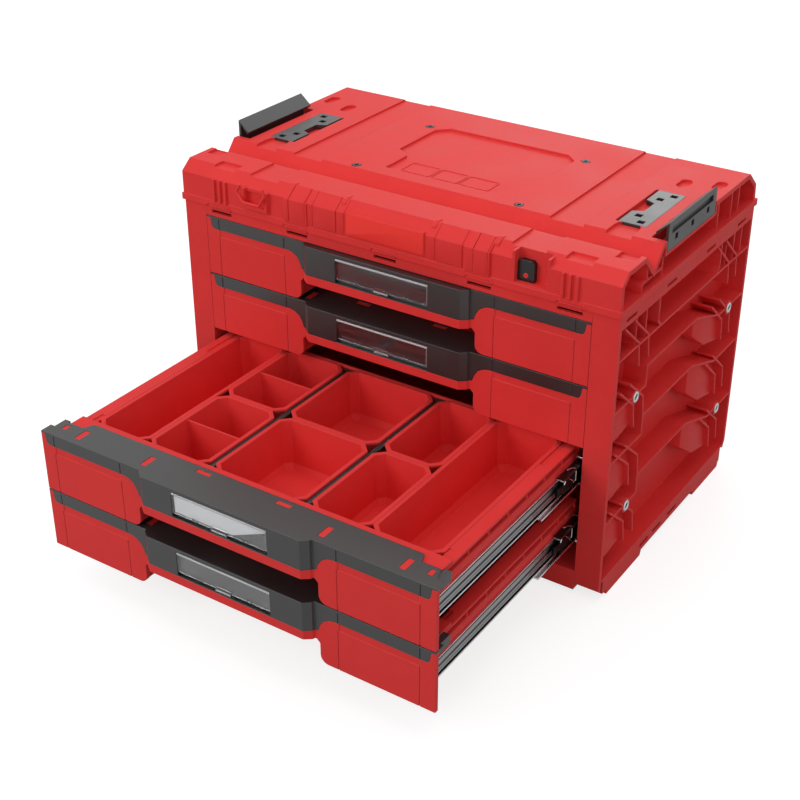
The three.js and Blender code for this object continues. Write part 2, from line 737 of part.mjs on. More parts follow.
// Top cover with its deck, front band, flange and front rail.
function topCover() {
  const line = coverLine();
  const outerShape = [...line];
  const innerLine = offsetLine(line, -coverWall);
  const first = innerLine[0];
  const last = innerLine[innerLine.length - 1];
  const innerShape = [[first[0], cabinetTop - overrun], ...innerLine, [last[0], cabinetTop - overrun]];
  const full = prism('x', outerShape, -halfWidth, halfWidth);
  const hollow = prism('x', innerShape, -halfWidth - overrun, halfWidth + overrun);
  const middleLine = offsetLine(line, -half(coverWall));
  const keepBottom = cabinetTop + half(flangeThickness);
  const core = prism('x', [
    [middleLine[0][0], keepBottom], ...middleLine.slice(1, -1), [last[0], keepBottom],
  ], -halfWidth, halfWidth);
  const keep = [
    ...bothSides(coverWebPlace, coverWebPlace + coverWeb, frontY, backY, cabinetTop, deckHeight),
    ...coverRibShares.flatMap((share) => bothSides(coverWebPlace, halfWidth - coverRibInset,
      alongSide(share), alongSide(share) + coverWeb, cabinetTop, deckHeight)),
  ].map((box) => core.intersect(box));
  const cup = plateCup();
  const seat = latchSeat();
  const flange = carve(
    slab(-halfWidth - flangeOverhang, halfWidth + flangeOverhang, bandFront - half(flangeOverhang),
      backY + flangeRearOverhang, cabinetTop, flangeTop),
    [slab(-coverWebPlace, coverWebPlace, frontY + coverWall, backY - coverWall,
      cabinetTop - overrun, flangeTop + overrun)],
  );
  const railHalf = bayHalf - seam;
  const rail = slab(-railHalf, railHalf, frontY, frontY + framePlate, bayTop, flangeTop);
  const clipTop = cabinetTop - clipDrop + clipSlotHeight;
  const clipLipBottom = clipTop + clipLipGap;
  const clipPlaces = clipShares.map((share) => share * halfWidth);
  const clipLips = clipPlaces.map((middle) => slab(middle - half(clipLength), middle + half(clipLength),
    frontY - clipLipProud, frontY + half(framePlate), clipLipBottom, cabinetTop + half(flangeThickness)));
  const clipSlots = clipPlaces.map((middle) => slab(middle - half(clipLength), middle + half(clipLength),
    frontY - overrun, frontY + framePlate + overrun, clipTop - clipSlotHeight, clipTop));
  const pocketFront = bandFront;
  const lockCup = slab(lockPocketLeft - lockPocketWall, lockPocketRight + lockPocketWall,
    pocketFront, pocketFront + lockPocketDepth + lockPocketWall,
    lockPocketFloor - lockPocketWall, deckHeight - half(coverWall));
  const lockHollow = slab(lockPocketLeft, lockPocketRight, pocketFront - overrun,
    pocketFront + lockPocketDepth, lockPocketFloor, deckHeight + overrun);
  const loopHollow = slab(loopLeft + loopBar, loopRight - loopBar, bandFront - overrun,
    bandFront + half(coverWall), loopBottom + loopBar, loopTop - loopBar);
  const grooves = bothSides(grooveInner, grooveOuter, bandFront - overrun, backY + overrun,
    deckHeight - grooveDepth, deckHeight + overrun);
  const neck = half(recessNeck);
  const wide = half(recessWidth);
  const recess = prism('z', [
    [-neck, recessFront], [neck, recessFront], [neck, recessShoulder - recessChamfer],
    [wide, recessShoulder], [wide, recessRear - recessChamfer], [wide - recessChamfer, recessRear],
    [-wide + recessChamfer, recessRear], [-wide, recessRear - recessChamfer], [-wide, recessShoulder],
    [-neck, recessShoulder - recessChamfer],
  ], deckHeight - recessDepth, deckHeight + overrun);
  const screwPockets = [coverScrewFront, coverScrewRear].flatMap((y) => [left, right].map((side) => prism('z',
    arc(side * half(coverScrewAcross), y, screwPocketRadius, 0, 360, screwPocketSides).slice(1),
    deckHeight - screwPocketDepth, deckHeight + overrun)));
  const deckSlots = deckSlotInsets.flatMap(([across, behind]) => [left, right].map((side) => prism('z',
    slotOutline(side * (halfWidth - across), backY - behind, deckSlotWidth, deckSlotLength),
    deckHeight - deckSlotDepth, deckHeight + overrun)));
  const valleyEnd = bandFront + stripChamfer + stripDepth + valleyFrontRun + valleyRearRun;
  const moons = [left, right].map((side) => prism('z',
    slotOutline(side * (halfWidth - moonInset), valleyEnd, moonWidth, moonLength + moonLength),
    deckHeight - deckSlotDepth, deckHeight + overrun));
  const stripPockets = bothSides(stripPocketInner, stripPocketOuter, bandFront - overrun,
    bandFront + half(stripChamfer) + half(stripDepth), deckHeight - half(stripPocketDepth),
    deckHeight + overrun);
  const stripBack = bandFront + stripChamfer + stripDepth;
  const cornerSlots = bothSides(cornerSlotInner, cornerSlotOuter, stripBack - cornerSlotLength,
    stripBack + overrun, deckHeight - deckSlotDepth, deckHeight + overrun);
  const shell = fuse([
    carve(full, [hollow]), ...keep, flange, rail, ...clipLips, lockCup, ...cup.cup, ...seat.seat,
  ]);
  const shaped = carve(shell, [
    ...cup.hollow, ...seat.notch, ...grooves, recess, ...screwPockets, ...deckSlots, ...moons,
    ...stripPockets, ...cornerSlots, ...clipSlots, loopHollow,
  ]);
  return carve(fuse([shaped, ...bandDetails()]), [lockHollow]);
}

// Tab of the central lock, which slides up in its pocket.
function lockSlider() {
  const start = lockPocketLeft + seam;
  const end = start + lockTabWidth;
  const bottom = lockPocketFloor + seam;
  const top = bottom + lockTabHeight;
  const back = bandFront + lockPocketDepth - seam;
  const outline = [
    [start, bottom], [end, bottom], [end, top - lockTabCorner],
    [end - lockTabCorner, top], [start + lockTabCorner, top], [start, top - lockTabCorner],
  ];
  const tab = prism('y', outline, back - lockTabThickness, back);
  const hole = prism('y', arc(half(start + end), bottom + lockTabHoleShare * lockTabHeight,
    lockTabHole, 0, 360, bossCount).slice(1), back - lockTabThickness - overrun, back + overrun);
  return carve(tab, [hole]);
}

// Stacking latch rail on the right, mirrored for the left.
function latchRail() {
  const outer = halfWidth - seam;
  const back = latchFront + latchLength;
  const tipX = outer - latchReach;
  const tipZ = latchTop - latchHookFall;
  const outline = [
    [outer, latchBottom], [outer, latchTop], [tipX, tipZ], [tipX + half(latchPlate), tipZ - latchPlate],
    [outer - latchPlate, latchTop - latchPlate - half(latchPlate)], [outer - latchPlate, latchBottom],
  ];
  const rail = prism('y', outline, latchFront, back);
  const slotTop = latchTop - latchSlotDrop;
  const slot = slab(outer - latchPlate - half(overrun), outer + overrun, latchFront + latchSlotInset,
    back - latchSlotInset, slotTop - latchSlotHeight, slotTop);
  const holeTop = slotTop - latchSlotHeight - latchPlate;
  const holes = latchHoleShares.map((share) => {
    const y0 = latchFront + share * latchLength - half(latchHoleSize);
    return slab(outer - latchPlate - half(overrun), outer + overrun, y0, y0 + latchHoleSize,
      holeTop - latchHoleSize, holeTop);
  });
  return carve(rail, [slot, ...holes]);
}

// Lock plate in the deck on the right, mirrored for the left.
function lockPlate() {
  const outer = plateInner + plateWidth;
  const back = plateFront + plateLength;
  const notchFront = plateFront + half(plateLength - plateNotchLength);
  const top = deckHeight;
  const bottom = top - plateThickness;
  const outline = [
    [plateInner, plateFront], [outer, plateFront], [outer, back], [plateInner, back],
    [plateInner, notchFront + plateNotchLength],
    [plateInner + plateNotchDepth, notchFront + plateNotchLength - half(plateNotchDepth)],
    [plateInner + plateNotchDepth, notchFront + half(plateNotchDepth)],
    [plateInner, notchFront],
  ];
  const plate = prism('z', outline, bottom, top);
  const middle = plateInner + half(plateWidth);
  const pits = plateHoleShares.map((share, index) => {
    const x0 = middle + plateHoleOffsets[index] - half(plateHole);
    const y0 = plateFront + share * plateLength - half(plateHole);
    return slab(x0, x0 + plateHole, y0, y0 + plateHole, top - plateHoleDepth, top + overrun);
  });
  return carve(plate, pits);
}

// Line between the red fascia and the dark trim, from the middle to the right end.
function riseLine(z) {
  const low = z + lipHeight + lipThickness;
  const high = z + drawerHeight - trimBand;
  const top = z + drawerHeight - hornInset;
  const run = riseStart - blockRoot;
  const hornX = drawerHalf - hornWidth;
  const rise = riseSpanShares.map(([across, down]) => [riseStart - across * run, high - down * (high - low)]);
  const horn = hornSpanShares.map(([across, up]) => [
    hornX - hornRun + across * hornRun, high + up * (top - high)]);
  return [[0, low], [blockRoot, low], ...rise.reverse(), [riseStart, high],
    [hornX - hornRun, high], ...horn, [hornX, top], [drawerHalf, top]];
}

const mirrored = (points) => points.map(([x, z]) => [-x, z]).reverse();

// Plan outline of the block that stands proud of the drawer front.
function blockPlan(y, back) {
  return [
    [-blockHalf, y - blockProud], [blockHalf, y - blockProud], [blockShoulder, y - blockShoulderProud],
    [blockRoot, y], [blockRoot, y + back], [-blockRoot, y + back], [-blockRoot, y],
    [-blockShoulder, y - blockShoulderProud],
  ];
}

// Red drawer front with its lip and its two side panels.
function drawerFront(y, z) {
  const upper = riseLine(z);
  const corner = Math.min(panelCorner, half(lipHeight));
  const fillet = Math.min(panelFillet, half(lipHeight));
  const lower = [
    [panelInner - fillet, z + lipHeight], [panelInner, z + lipHeight - fillet],
    ...arc(panelInner + corner, z + corner, corner, 180, 270, roundSteps),
  ];
  const outline = [
    ...upper.slice(1), [drawerHalf, z], ...[...lower].reverse(),
    ...mirrored([...upper.slice(1), [drawerHalf, z], ...[...lower].reverse()]),
  ];
  const plate = prism('y', outline, y, y + fasciaPlate);
  const lip = prism('z', blockPlan(y, fasciaPlate), z + lipHeight, z + lipHeight + lipThickness);
  const stepBottom = z + drawerHeight - trimBand - panelStepMargin;
  const grooves = seamPlaces.flatMap((middle) => bothSides(middle - half(seamGroove),
    middle + half(seamGroove), y - overrun, y + seamGrooveDepth, z - overrun, stepBottom));
  const steps = bothSides(seamPlaces[0] + seamGroove, seamPlaces[1] - seamGroove, y - overrun,
    y + panelStep, stepBottom, z + drawerHeight);
  return carve(fuse([plate, lip]), [...grooves, ...steps]);
}

// Spots of the eight small red tabs that hold the trim down, as centre and size.
function tabSpots(y) {
  const rows = [
    [innerTabPlace, tabDepth, tabWidth, tabLength],
    [drawerHalf - outerTabInset, tabDepth, tabWidth, tabLength],
    [crossTabPlace, crossTabDepth, tabLength, half(tabWidth) + trimPlate],
    [drawerHalf - endTabInset, endTabDepth, half(tabWidth) + trimPlate, endTabLength],
  ];
  return rows.flatMap(([x, depth, wide, long]) => [left, right].map((side) => ({
    x0: side * x - half(wide),
    x1: side * x + half(wide),
    y0: y + depth - half(long),
    y1: y + depth + half(long),
  })));
}

// Dark trim with its top plate, front band and handle block.
function drawerTrim(y, z) {
  const top = z + drawerHeight;
  const lower = offsetLine(riseLine(z), seam);
  const blockBottom = z + lipHeight + lipThickness + seam;
  lower[0] = [0, blockBottom];
  lower[1] = [blockRoot, blockBottom];
  lower[lower.length - 1] = [drawerHalf, z + drawerHeight - hornInset + seam];
  const band = prism('y', [...lower, [drawerHalf, top], [-drawerHalf, top], ...mirrored(lower).slice(0, -1)],
    y, y + fasciaPlate);
  const block = prism('z', blockPlan(y, fasciaPlate), blockBottom, top);
  const side = [
    [drawerHalf, 0], [drawerHalf, trimTipDepth], [trimWingEnd + trimWingSlope, trimTipDepth],
    [trimWingEnd, trimWingDepth], [trimWingStart + trimWingSlope, trimWingDepth], [trimWingStart, trimDepth],
  ].map(([x, depth]) => [x, y + depth]);
  const plate = prism('z', [...side, ...mirrored(side)], top - trimPlate, top);
  const windows = tabSpots(y).map(({ x0, x1, y0, y1 }) => slab(
    x0 - seam,
    x1 + seam,
    y0 - seam,
    y1 + seam,
    top - trimPlate - overrun,
    top + overrun,
  ));
  const hooks = bothSides(trimHookInner, trimHookOuter, y + fasciaPlate + seam,
    y + fasciaPlate + trimHookLength, top - trimPlate - trimHookHeight, top - half(trimPlate));
  const labelTop = top - labelDrop;
  const labelBottom = labelTop - labelHeight - labelTabHeight - labelHingeRadius - labelHingeRadius;
  const pocket = slab(-half(labelWidth) - seam, half(labelWidth) + seam, y - blockProud - overrun,
    y - blockProud + labelPocketDepth, labelBottom - seam, labelTop);
  const joints = seamPlaces.flatMap((middle) => bothSides(middle - half(seamGroove),
    middle + half(seamGroove), y - overrun, y + seamGrooveDepth, top - trimBand - overrun, top - trimPlate));
  return carve(fuse([band, block, plate, ...hooks]), [...windows, pocket, ...joints]);
}

// Clear label cover with its hinge rod and pull tab.
function labelCover(y, z) {
  const rodZ = z + drawerHeight - labelDrop - labelHingeRadius - seam;
  const front = y - blockProud;
  const rodY = front + labelHingeRadius;
  const rodHalf = half(labelWidth);
  const ring = arc(rodY, rodZ, labelHingeRadius, 0, 360, labelHingeSides).slice(1);
  const rod = prism('x', ring, -rodHalf, rodHalf);
  const plateTop = rodZ;
  const plateBottom = plateTop - labelHeight;
  const faceY = front + half(labelHingeRadius);
  const plate = slab(-rodHalf, rodHalf, faceY, faceY + labelThickness, plateBottom, plateTop);
  const tab = slab(-half(labelTabWidth), half(labelTabWidth), faceY - half(labelThickness),
    faceY + labelThickness, plateBottom - labelTabHeight, plateBottom + labelTabHeight);
  return fuse([rod, plate, tab]);
}

// Red drawer tub with its flanges, slide seats and the bridge under the trim.
function drawerTub(y, z) {
  const inner = half(tubInnerWidth);
  const outer = inner + tubWall;
  const start = y + fasciaPlate + seam;
  const frontWall = y + tubFrontPlace;
  const innerFront = frontWall + tubWall;
  const innerBack = innerFront + tubInnerDepth;
  const end = innerBack + tubWall;
  const bottom = z + tubDrop;
  const rim = z + tubHeight;
  const bridgeTop = z + drawerHeight - trimPlate - seam;
  const flangeOuter = inner + tubFlangeWidth;
  const seatInner = bayHalf - seam - slideWeb - seam - slideWeb - slideReach;
  const seatTop = z + slideCentre + half(slideHeight);
  const seatBottom = z + slideCentre - half(slideHeight);
  const box = carve(slab(-outer, outer, frontWall, end, bottom, rim), [
    slab(-inner, inner, innerFront, innerBack, bottom + tubFloor, rim + overrun),
  ]);
  const parts = [
    ...bothSides(inner, outer, start, frontWall + tubWall, bottom, bridgeTop),
    ...bothSides(inner, flangeOuter, start, end, rim - tubFlangeThickness, rim),
    slab(-outer, outer, frontWall, frontWall + tubWall, rim - tubWall, bridgeTop),
    slab(-flangeOuter, flangeOuter, start, frontWall + tubWall, bridgeTop - tubBridge, bridgeTop),
    ...bothSides(tubFingerWall, tubFingerWall + tubWall, start, frontWall + half(tubWall), bottom, bridgeTop),
    ...bothSides(seatInner - tubSeatWall, seatInner, start, end, seatBottom, seatTop),
    ...bothSides(outer - half(tubWall), seatInner, start, end, seatTop - tubSeatWall, seatTop),
  ];
  const length = end - start;
  for (let index = 0; index < tubSeatRibCount; index += 1) {
    const ribStart = start + ((index + half(1)) / tubSeatRibCount) * length;
    parts.push(...bothSides(outer - half(tubWall), seatInner - half(tubSeatWall), ribStart,
      ribStart + tubSeatWall, seatBottom, seatTop));
  }
  for (let index = 0; index < tubUpperRibCount; index += 1) {
    const ribStart = start + ((index + half(1)) / tubUpperRibCount) * length;
    parts.push(...bothSides(outer - half(tubWall), outer + tubUpperRibReach, ribStart,
      ribStart + tubSeatWall, seatTop - half(tubSeatWall), rim - half(tubFlangeThickness)));
  }
  tabSpots(y).forEach(({ x0, x1, y0, y1 }) => {
    parts.push(slab(x0, x1, y0, y1, bridgeTop - half(tubBridge), z + drawerHeight - tabSink));
  });
  const rebates = tubRebateShares.flatMap(([from, to]) => bothSides(inner - overrun, inner + tubRebateWidth,
    innerFront + from * tubInnerDepth, innerFront + to * tubInnerDepth, rim - half(tubFlangeThickness),
    rim + overrun));
  return carve(fuse([box, ...parts]), rebates);
}

// Bin with a rim, cut corners and coved bottom edges, with or without a divider across.
function bin(x0, x1, y0, y1, bottom, top, divided) {
  const rimDrop = top - binRimHeight;
  const wallInset = binRimWidth - binWall;
  const outlineAt = (inset) => cutCornerOutline(x0 + inset, x1 - inset, y0 + inset, y1 - inset,
    binCorner - half(inset));
  const body = loft([
    { points: outlineAt(wallInset + binDraft), z: bottom },
    { points: outlineAt(wallInset), z: rimDrop + half(binRimHeight) },
  ]);
  const rim = prism('z', outlineAt(0), rimDrop, top);
  const draftAt = (z) => binDraft * ((top - z) / (top - bottom));
  const floor = bottom + binFloor;
  const hollow = loft([
    { points: outlineAt(binRimWidth + draftAt(floor) + binCoveRun), z: floor },
    { points: outlineAt(binRimWidth + draftAt(floor + binCoveHeight)), z: floor + binCoveHeight },
    { points: outlineAt(binRimWidth - draftAt(top - overrun) + draftAt(top)), z: top + overrun },
  ]);
  const open = carve(fuse([body, rim]), [hollow]);
  if (!divided) {
    return open;
  }
  const middle = half(y0 + y1);
  const wall = slab(x0 + binRimWidth - half(binWall), x1 - binRimWidth + half(binWall),
    middle - half(binDivider), middle + half(binDivider), bottom + half(binFloor), top - binDividerDrop);
  return open.add(wall.intersect(fuse([body, rim])));
}

// Dark strip between two columns of bins.
function dividerStrip(x0, front, back, bottom, top) {
  const blade = slab(x0, x0 + stripThickness, front, back, bottom, top);
  const middle = x0 + half(stripThickness);
  const head = slab(middle - half(stripHead), middle + half(stripHead), back - stripHeadDepth, back,
    top - stripHeadHeight, top);
  return blade.add(head);
}

// Bins and strips of the third drawer, column by column from the left.
function placeBins(name, y, z) {
  const front = y + tubFrontPlace + tubWall + binGap;
  const back = front + tubInnerDepth - binGap - binGap;
  const middle = half(front + back);
  const bottom = z + tubDrop + tubFloor + seam;
  const top = z + tubHeight;
  const whole = [[front, back, '']];
  const twoRows = [[front, middle - half(binGap), '_front'], [middle + half(binGap), back, '_rear']];
  const bins = columnShares.filter(({ widthShare }) => widthShare);
  const shareSum = bins.reduce((sum, { widthShare }) => sum + widthShare, 0);
  const stripRoom = stripThickness * (columnShares.length - bins.length);
  const gapRoom = binGap * (columnShares.length + 1);
  const binRoom = tubInnerWidth - stripRoom - gapRoom;
  let x = binGap - half(tubInnerWidth);
  columnShares.forEach(({ piece, widthShare, rows, divided }) => {
    if (!widthShare) {
      place(`${name}_${piece}`, dividerStrip(x, front, back, bottom, top - stripDrop), charcoal);
      x += stripThickness + binGap;
      return;
    }
    const width = binRoom * (widthShare / shareSum);
    (rows ? twoRows : whole).forEach(([y0, y1, row]) => {
      place(`${name}_${piece}${row}`, bin(x, x + width, y0, y1, bottom, top, divided), red);
    });
    x += width + binGap;
  });
}

// Channel of a slide on the right: the web at one x, the lips towards another.
function channel(webX, webEnd, lipEnd, tall, y0, z) {
  const low = z - half(tall);
  const high = z + half(tall);
  const outline = [
    [webX, low], [lipEnd, low], [lipEnd, low + slideLip], [webEnd, low + slideLip],
    [webEnd, high - slideLip], [lipEnd, high - slideLip], [lipEnd, high], [webX, high],
  ];
  return prism('y', outline, y0, y0 + slideLength);
}

// The three members of both slides of one drawer.
function placeSlides(name, travel, z) {
  const centre = z + slideCentre;
  const start = frontY + slideStart;
  const cabinetWeb = bayHalf - seam;
  const cabinetWebEnd = cabinetWeb - slideWeb;
  const middleWeb = cabinetWebEnd - seam;
  const middleWebEnd = middleWeb - slideWeb;
  const drawerWeb = middleWebEnd - slideReach + seam;
  const middleTall = slideHeight - slideLip - slideLip - seam - seam;
  const drawerTall = middleTall - slideLip - slideLip - seam - seam;
  const solids = {
    cabinet_member: channel(cabinetWeb, cabinetWebEnd, cabinetWeb - slideReach, slideHeight, start, centre),
    middle_member: channel(middleWeb, middleWebEnd, middleWeb - slideReach + seam, middleTall,
      start - half(travel), centre),
    drawer_member: channel(drawerWeb, drawerWeb + slideWeb, drawerWeb + drawerMemberReach, drawerTall,
      start - travel, centre),
  };
  Object.entries(solids).forEach(([part, solid]) => {
    placePair(`${name}_${part}`, solid, steel);
  });
}

place('top_cover', topCover(), red);
placePair('side_panel', sidePanel(), red);
place('base_panel', basePanel(), red);
place('back_panel', backPanel(), red);
place('central_lock_slider', lockSlider(), charcoal);
placePair('stacking_latch', latchRail(), charcoal);
placePair('deck_lock_plate', lockPlate(), charcoal);

for (let number = 1; number <= drawerCount; number += 1) {
  const name = `drawer_${number}`;
  const z = lowestDrawer + (drawerCount - number) * drawerPitch;
  const travel = openDrawers.includes(number) ? openTravel : 0;
  const y = frontY - travel;
  place(`${name}_tub`, drawerTub(y, z), red);
  place(`${name}_front`, drawerFront(y, z), red);
  place(`${name}_trim`, drawerTrim(y, z), charcoal);
  place(`${name}_label_cover`, labelCover(y, z), clear);
  placeSlides(name, travel, z);
  if (number === openDrawers[0]) {
    placeBins(name, y, z);
  }
}

export default model;
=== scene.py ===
import math

import bmesh
import bpy
from mathutils import Matrix, Vector


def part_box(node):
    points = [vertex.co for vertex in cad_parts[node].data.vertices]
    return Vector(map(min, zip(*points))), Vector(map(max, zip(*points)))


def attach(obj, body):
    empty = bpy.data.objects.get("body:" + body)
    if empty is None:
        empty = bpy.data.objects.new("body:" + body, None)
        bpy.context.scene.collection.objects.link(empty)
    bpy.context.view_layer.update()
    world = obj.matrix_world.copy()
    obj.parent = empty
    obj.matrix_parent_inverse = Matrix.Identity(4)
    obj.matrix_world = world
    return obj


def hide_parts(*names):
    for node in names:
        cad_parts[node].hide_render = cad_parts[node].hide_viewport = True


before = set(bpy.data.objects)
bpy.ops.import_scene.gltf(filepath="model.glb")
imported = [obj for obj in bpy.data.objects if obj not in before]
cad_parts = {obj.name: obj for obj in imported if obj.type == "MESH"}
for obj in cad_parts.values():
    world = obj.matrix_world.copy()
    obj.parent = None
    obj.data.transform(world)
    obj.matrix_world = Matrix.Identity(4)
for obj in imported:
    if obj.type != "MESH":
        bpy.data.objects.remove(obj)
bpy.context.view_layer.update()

bl_info = {
    "name": "Drawer Toolbox Finish",
    "version": (1, 0, 0),
    "blender": (4, 5, 0),
    "location": "View3D > Sidebar > Toolbox",
    "description": "Dresses a drawer toolbox with moulded plastics, steel slides, fasteners and a studio",
    "category": "Object",
}

SIDES = {"right": 1.0, "left": -1.0}
DRAWERS = (1, 2, 3, 4)
FILLED_DRAWER = 3

# Millimetres to metres
MM = 0.001

# Edges and relief of the surfaces, in degrees and millimetres
SPLIT_ANGLE = 32.0
BEVEL_ANGLE = 40
WELD_GAP = 0.01
RELIEF_DEPTH = 0.1

# Stretches of the noise over which tone and gloss change
TONE_STRETCH = (0.35, 0.65)
GLOSS_STRETCH = (0.3, 0.7)

# Places on the side panels as shares of a panel, and sizes in millimetres
BUSH_DEPTH_SHARES = (0.152, 0.868)
BUSH_HEIGHT_SHARES = (0.6765, 0.2862)
GUSSET_SHELVES = (0.291, 0.508, 0.681)
GUSSET_FACE = (268, 285)
GUSSET_INNER = (268, 279)
GUSSET_GAP = 1.5
FRONT_RIB = 0.04
REAR_RIB = 0.716
RIB_RUN = 38
RIB_FALL = 32
KNEE_DROP = 37.5

# Bush, and the dark disc painted as shade in its hole: radius as a share of the bush's, and height in
# millimetres
BUSH_RING = ((1, 0), (1, 0.8), (0.88, 1.5), (0.66, 1.5), (0.54, 0.8), (0.54, 0))
BUSH_HOLE_SHADE = ((0.56, 0.3), (0.4, 0.1), (0, 0.1))

# Top cover, its latches and its lock tab, in millimetres
FLANGE_STEP = 5
FLANGE_DROP = 40.2
SCREW_PLACES = ((-110.5, -78), (110.5, -78), (-110.5, 84), (110.5, 84))
SCREW_SUNK = 1.5
SCREW_PROUD = 0.2
CROSS_REACH = 0.62
CROSS_WIDTH = 0.3
FRAME_SPANS = ((-62, -22), (-20, 16), (18, 58))
FRAME_FRONT = -58
FRAME_REAR = -28
FRAME_RIM = 1.1
FRAME_CORNERS = (3.2, 2.4)
FRAME_DROPS = (3.2, 2.2)
FIN_SPANS = ((-137, -130.5), (-62, -56.5), (57.5, 63), (136.5, 142.5))
FIN_DEPTH = 22
CLIP_SHARES = (-0.807, -0.421, 0, 0.421, 0.8)
CLIP_BASE_DROP = 47.2
CLIP_CREST_DROP = 42.6
BADGE_LOW = (-49.5, 376)
BADGE_HIGH = (53.5, 402.5)
BADGE_FRONT = -185.5
COVER_END = (264, 289)
LATCH_PLATE = 3
TAB_EYE_SHARE = 0.28
TAB_EYE_RADIUS = 3.1

# Facets of the band: start, end and how far each stands proud
FACETS = ((-136.6, -130.2, 3.4), (-129.4, -107.6, 2.7), (-105.2, -97.2, 0.7), (-96.2, -64.8, 1.5),
          (-63.8, -53.4, 0.8), (57.0, 67.4, 0.8), (68.4, 102.0, 1.5), (107.2, 116.2, 2.7),
          (117.2, 134.4, 2.7), (135.2, 136.8, 3.4))

# Label covers and tubs, in millimetres
COVER_INSET = 0.3
ROD_RADIUS = 1.75
PIP_PLACES = (-36, -31, 31, 36)
PULL_TAB_HALF = 9.5
# Where the slanting edge of the painted reflection on the filled drawer's cover falls, as a share of the
# cover's width
REFLECTION_EDGE_SHARE = 0.63
FLANGE_RIBS = 8

# Rolled slides with their cages and wires, in millimetres
SLIDE_WALL = 1.5
SLIDE_DROP = 4.6
MIDDLE_SET_BACK = 58
TOP_SET_BACK = 105
RAIL_HEIGHT = 2.2
RAIL_INSET = 0.9
WINDOW_SHARE = 0.62
CAGE_NEAR = 5.0
CAGE_FAR = 8.2
WIRE_REACH = 9.2
WIRE_PLACE = 136
SPRING_CURL = ((-27, -6.5), (-25, -3), (-21, -1.6), (-17, -3.2), (-13, -7), (-8, -11), (-4, -16))

# Cage parts: start, end, drop from the top and rise from the bottom
CAGE_PARTS = {
    "cage": (110, 190, 9.5, 5),
    "cage_nose": (96, 109.8, 12.5, 8),
    "cage_lever": (122, 142, 6, 20.5),
}

# Painted light of a slide's faces, in the order of its materials: plain steel, painted shade, painted half
# shade
BRIGHT, SHADED, HALF_SHADED = range(3)

# Studio: the floor's reach in metres and the camera's sensor in millimetres
FLOOR_REACH = 12.0
SENSOR_WIDTH = 36.0

# Soft lamps: place, aim and width in metres, and power in watts
LAMPS = {
    "lamp_top": ((0.1, -0.1, 2.6), (0, -0.1, 0.3), 2.4, 18),
    "lamp_rear": ((-0.6, 2.3, 1.45), (0, 0, 0.35), 1.8, 14),
    "lamp_front": ((-1.6, -2.6, 1.9), (0, -0.2, 0.2), 1.8, 30),
    "lamp_fill": ((1.3, -2.8, 1.1), (0.1, -0.2, 0.15), 1.6, 6),
    "lamp_side": ((2.8, -0.8, 1.6), (0.2, -0.1, 0.2), 1.8, 5),
}


class PlasticSettings(bpy.types.PropertyGroup):
    red: bpy.props.FloatVectorProperty(
        name="Red", description="Colour of the body, the drawers and the bins",
        default=(0.80, 0.046, 0.044), size=3, min=0, max=1, subtype="COLOR")
    charcoal: bpy.props.FloatVectorProperty(
        name="Charcoal", description="Colour of the drawer trims and the latches",
        default=(0.017, 0.017, 0.017), size=3, min=0, max=1, subtype="COLOR")
    badge: bpy.props.FloatVectorProperty(
        name="Badge", description="Colour of the bare badge plate",
        default=(1.0, 0.052, 0.040), size=3, min=0, max=1, subtype="COLOR")
    grain: bpy.props.FloatProperty(
        name="Grain", description="Width of one grain of the moulded surface",
        default=0.0006, unit="LENGTH")


class MetalSettings(bpy.types.PropertyGroup):
    steel: bpy.props.FloatVectorProperty(
        name="Slide steel", description="Colour of the plated slides",
        default=(0.74, 0.75, 0.77), size=3, min=0, max=1, subtype="COLOR")
    screw: bpy.props.FloatVectorProperty(
        name="Screw steel", description="Colour of the deck screws",
        default=(0.06, 0.063, 0.066), size=3, min=0, max=1, subtype="COLOR")
    bush_radius: bpy.props.FloatProperty(
        name="Bush radius", description="Outer radius of the metal bushes in the side bosses",
        default=0.0065, unit="LENGTH")
    screw_radius: bpy.props.FloatProperty(
        name="Screw radius", description="Radius of the heads of the deck screws",
        default=0.0052, unit="LENGTH")


class LabelSettings(bpy.types.PropertyGroup):
    clear: bpy.props.FloatVectorProperty(
        name="Clear plastic", description="Tint of the label covers",
        default=(0.93, 0.94, 0.95), size=3, min=0, max=1, subtype="COLOR")
    # Pale grey that paints the highlight on the clear covers' hinge rods and pull tabs
    edge: bpy.props.FloatVectorProperty(
        name="Cover edge", description="Colour of the bright edges of the label covers",
        default=(0.55, 0.56, 0.57), size=3, min=0, max=1, subtype="COLOR")
    # White of the card that paints the studio's reflection on the filled drawer's label cover
    card: bpy.props.FloatVectorProperty(
        name="Card", description="Colour of the blank label card",
        default=(0.80, 0.80, 0.80), size=3, min=0, max=1, subtype="COLOR")


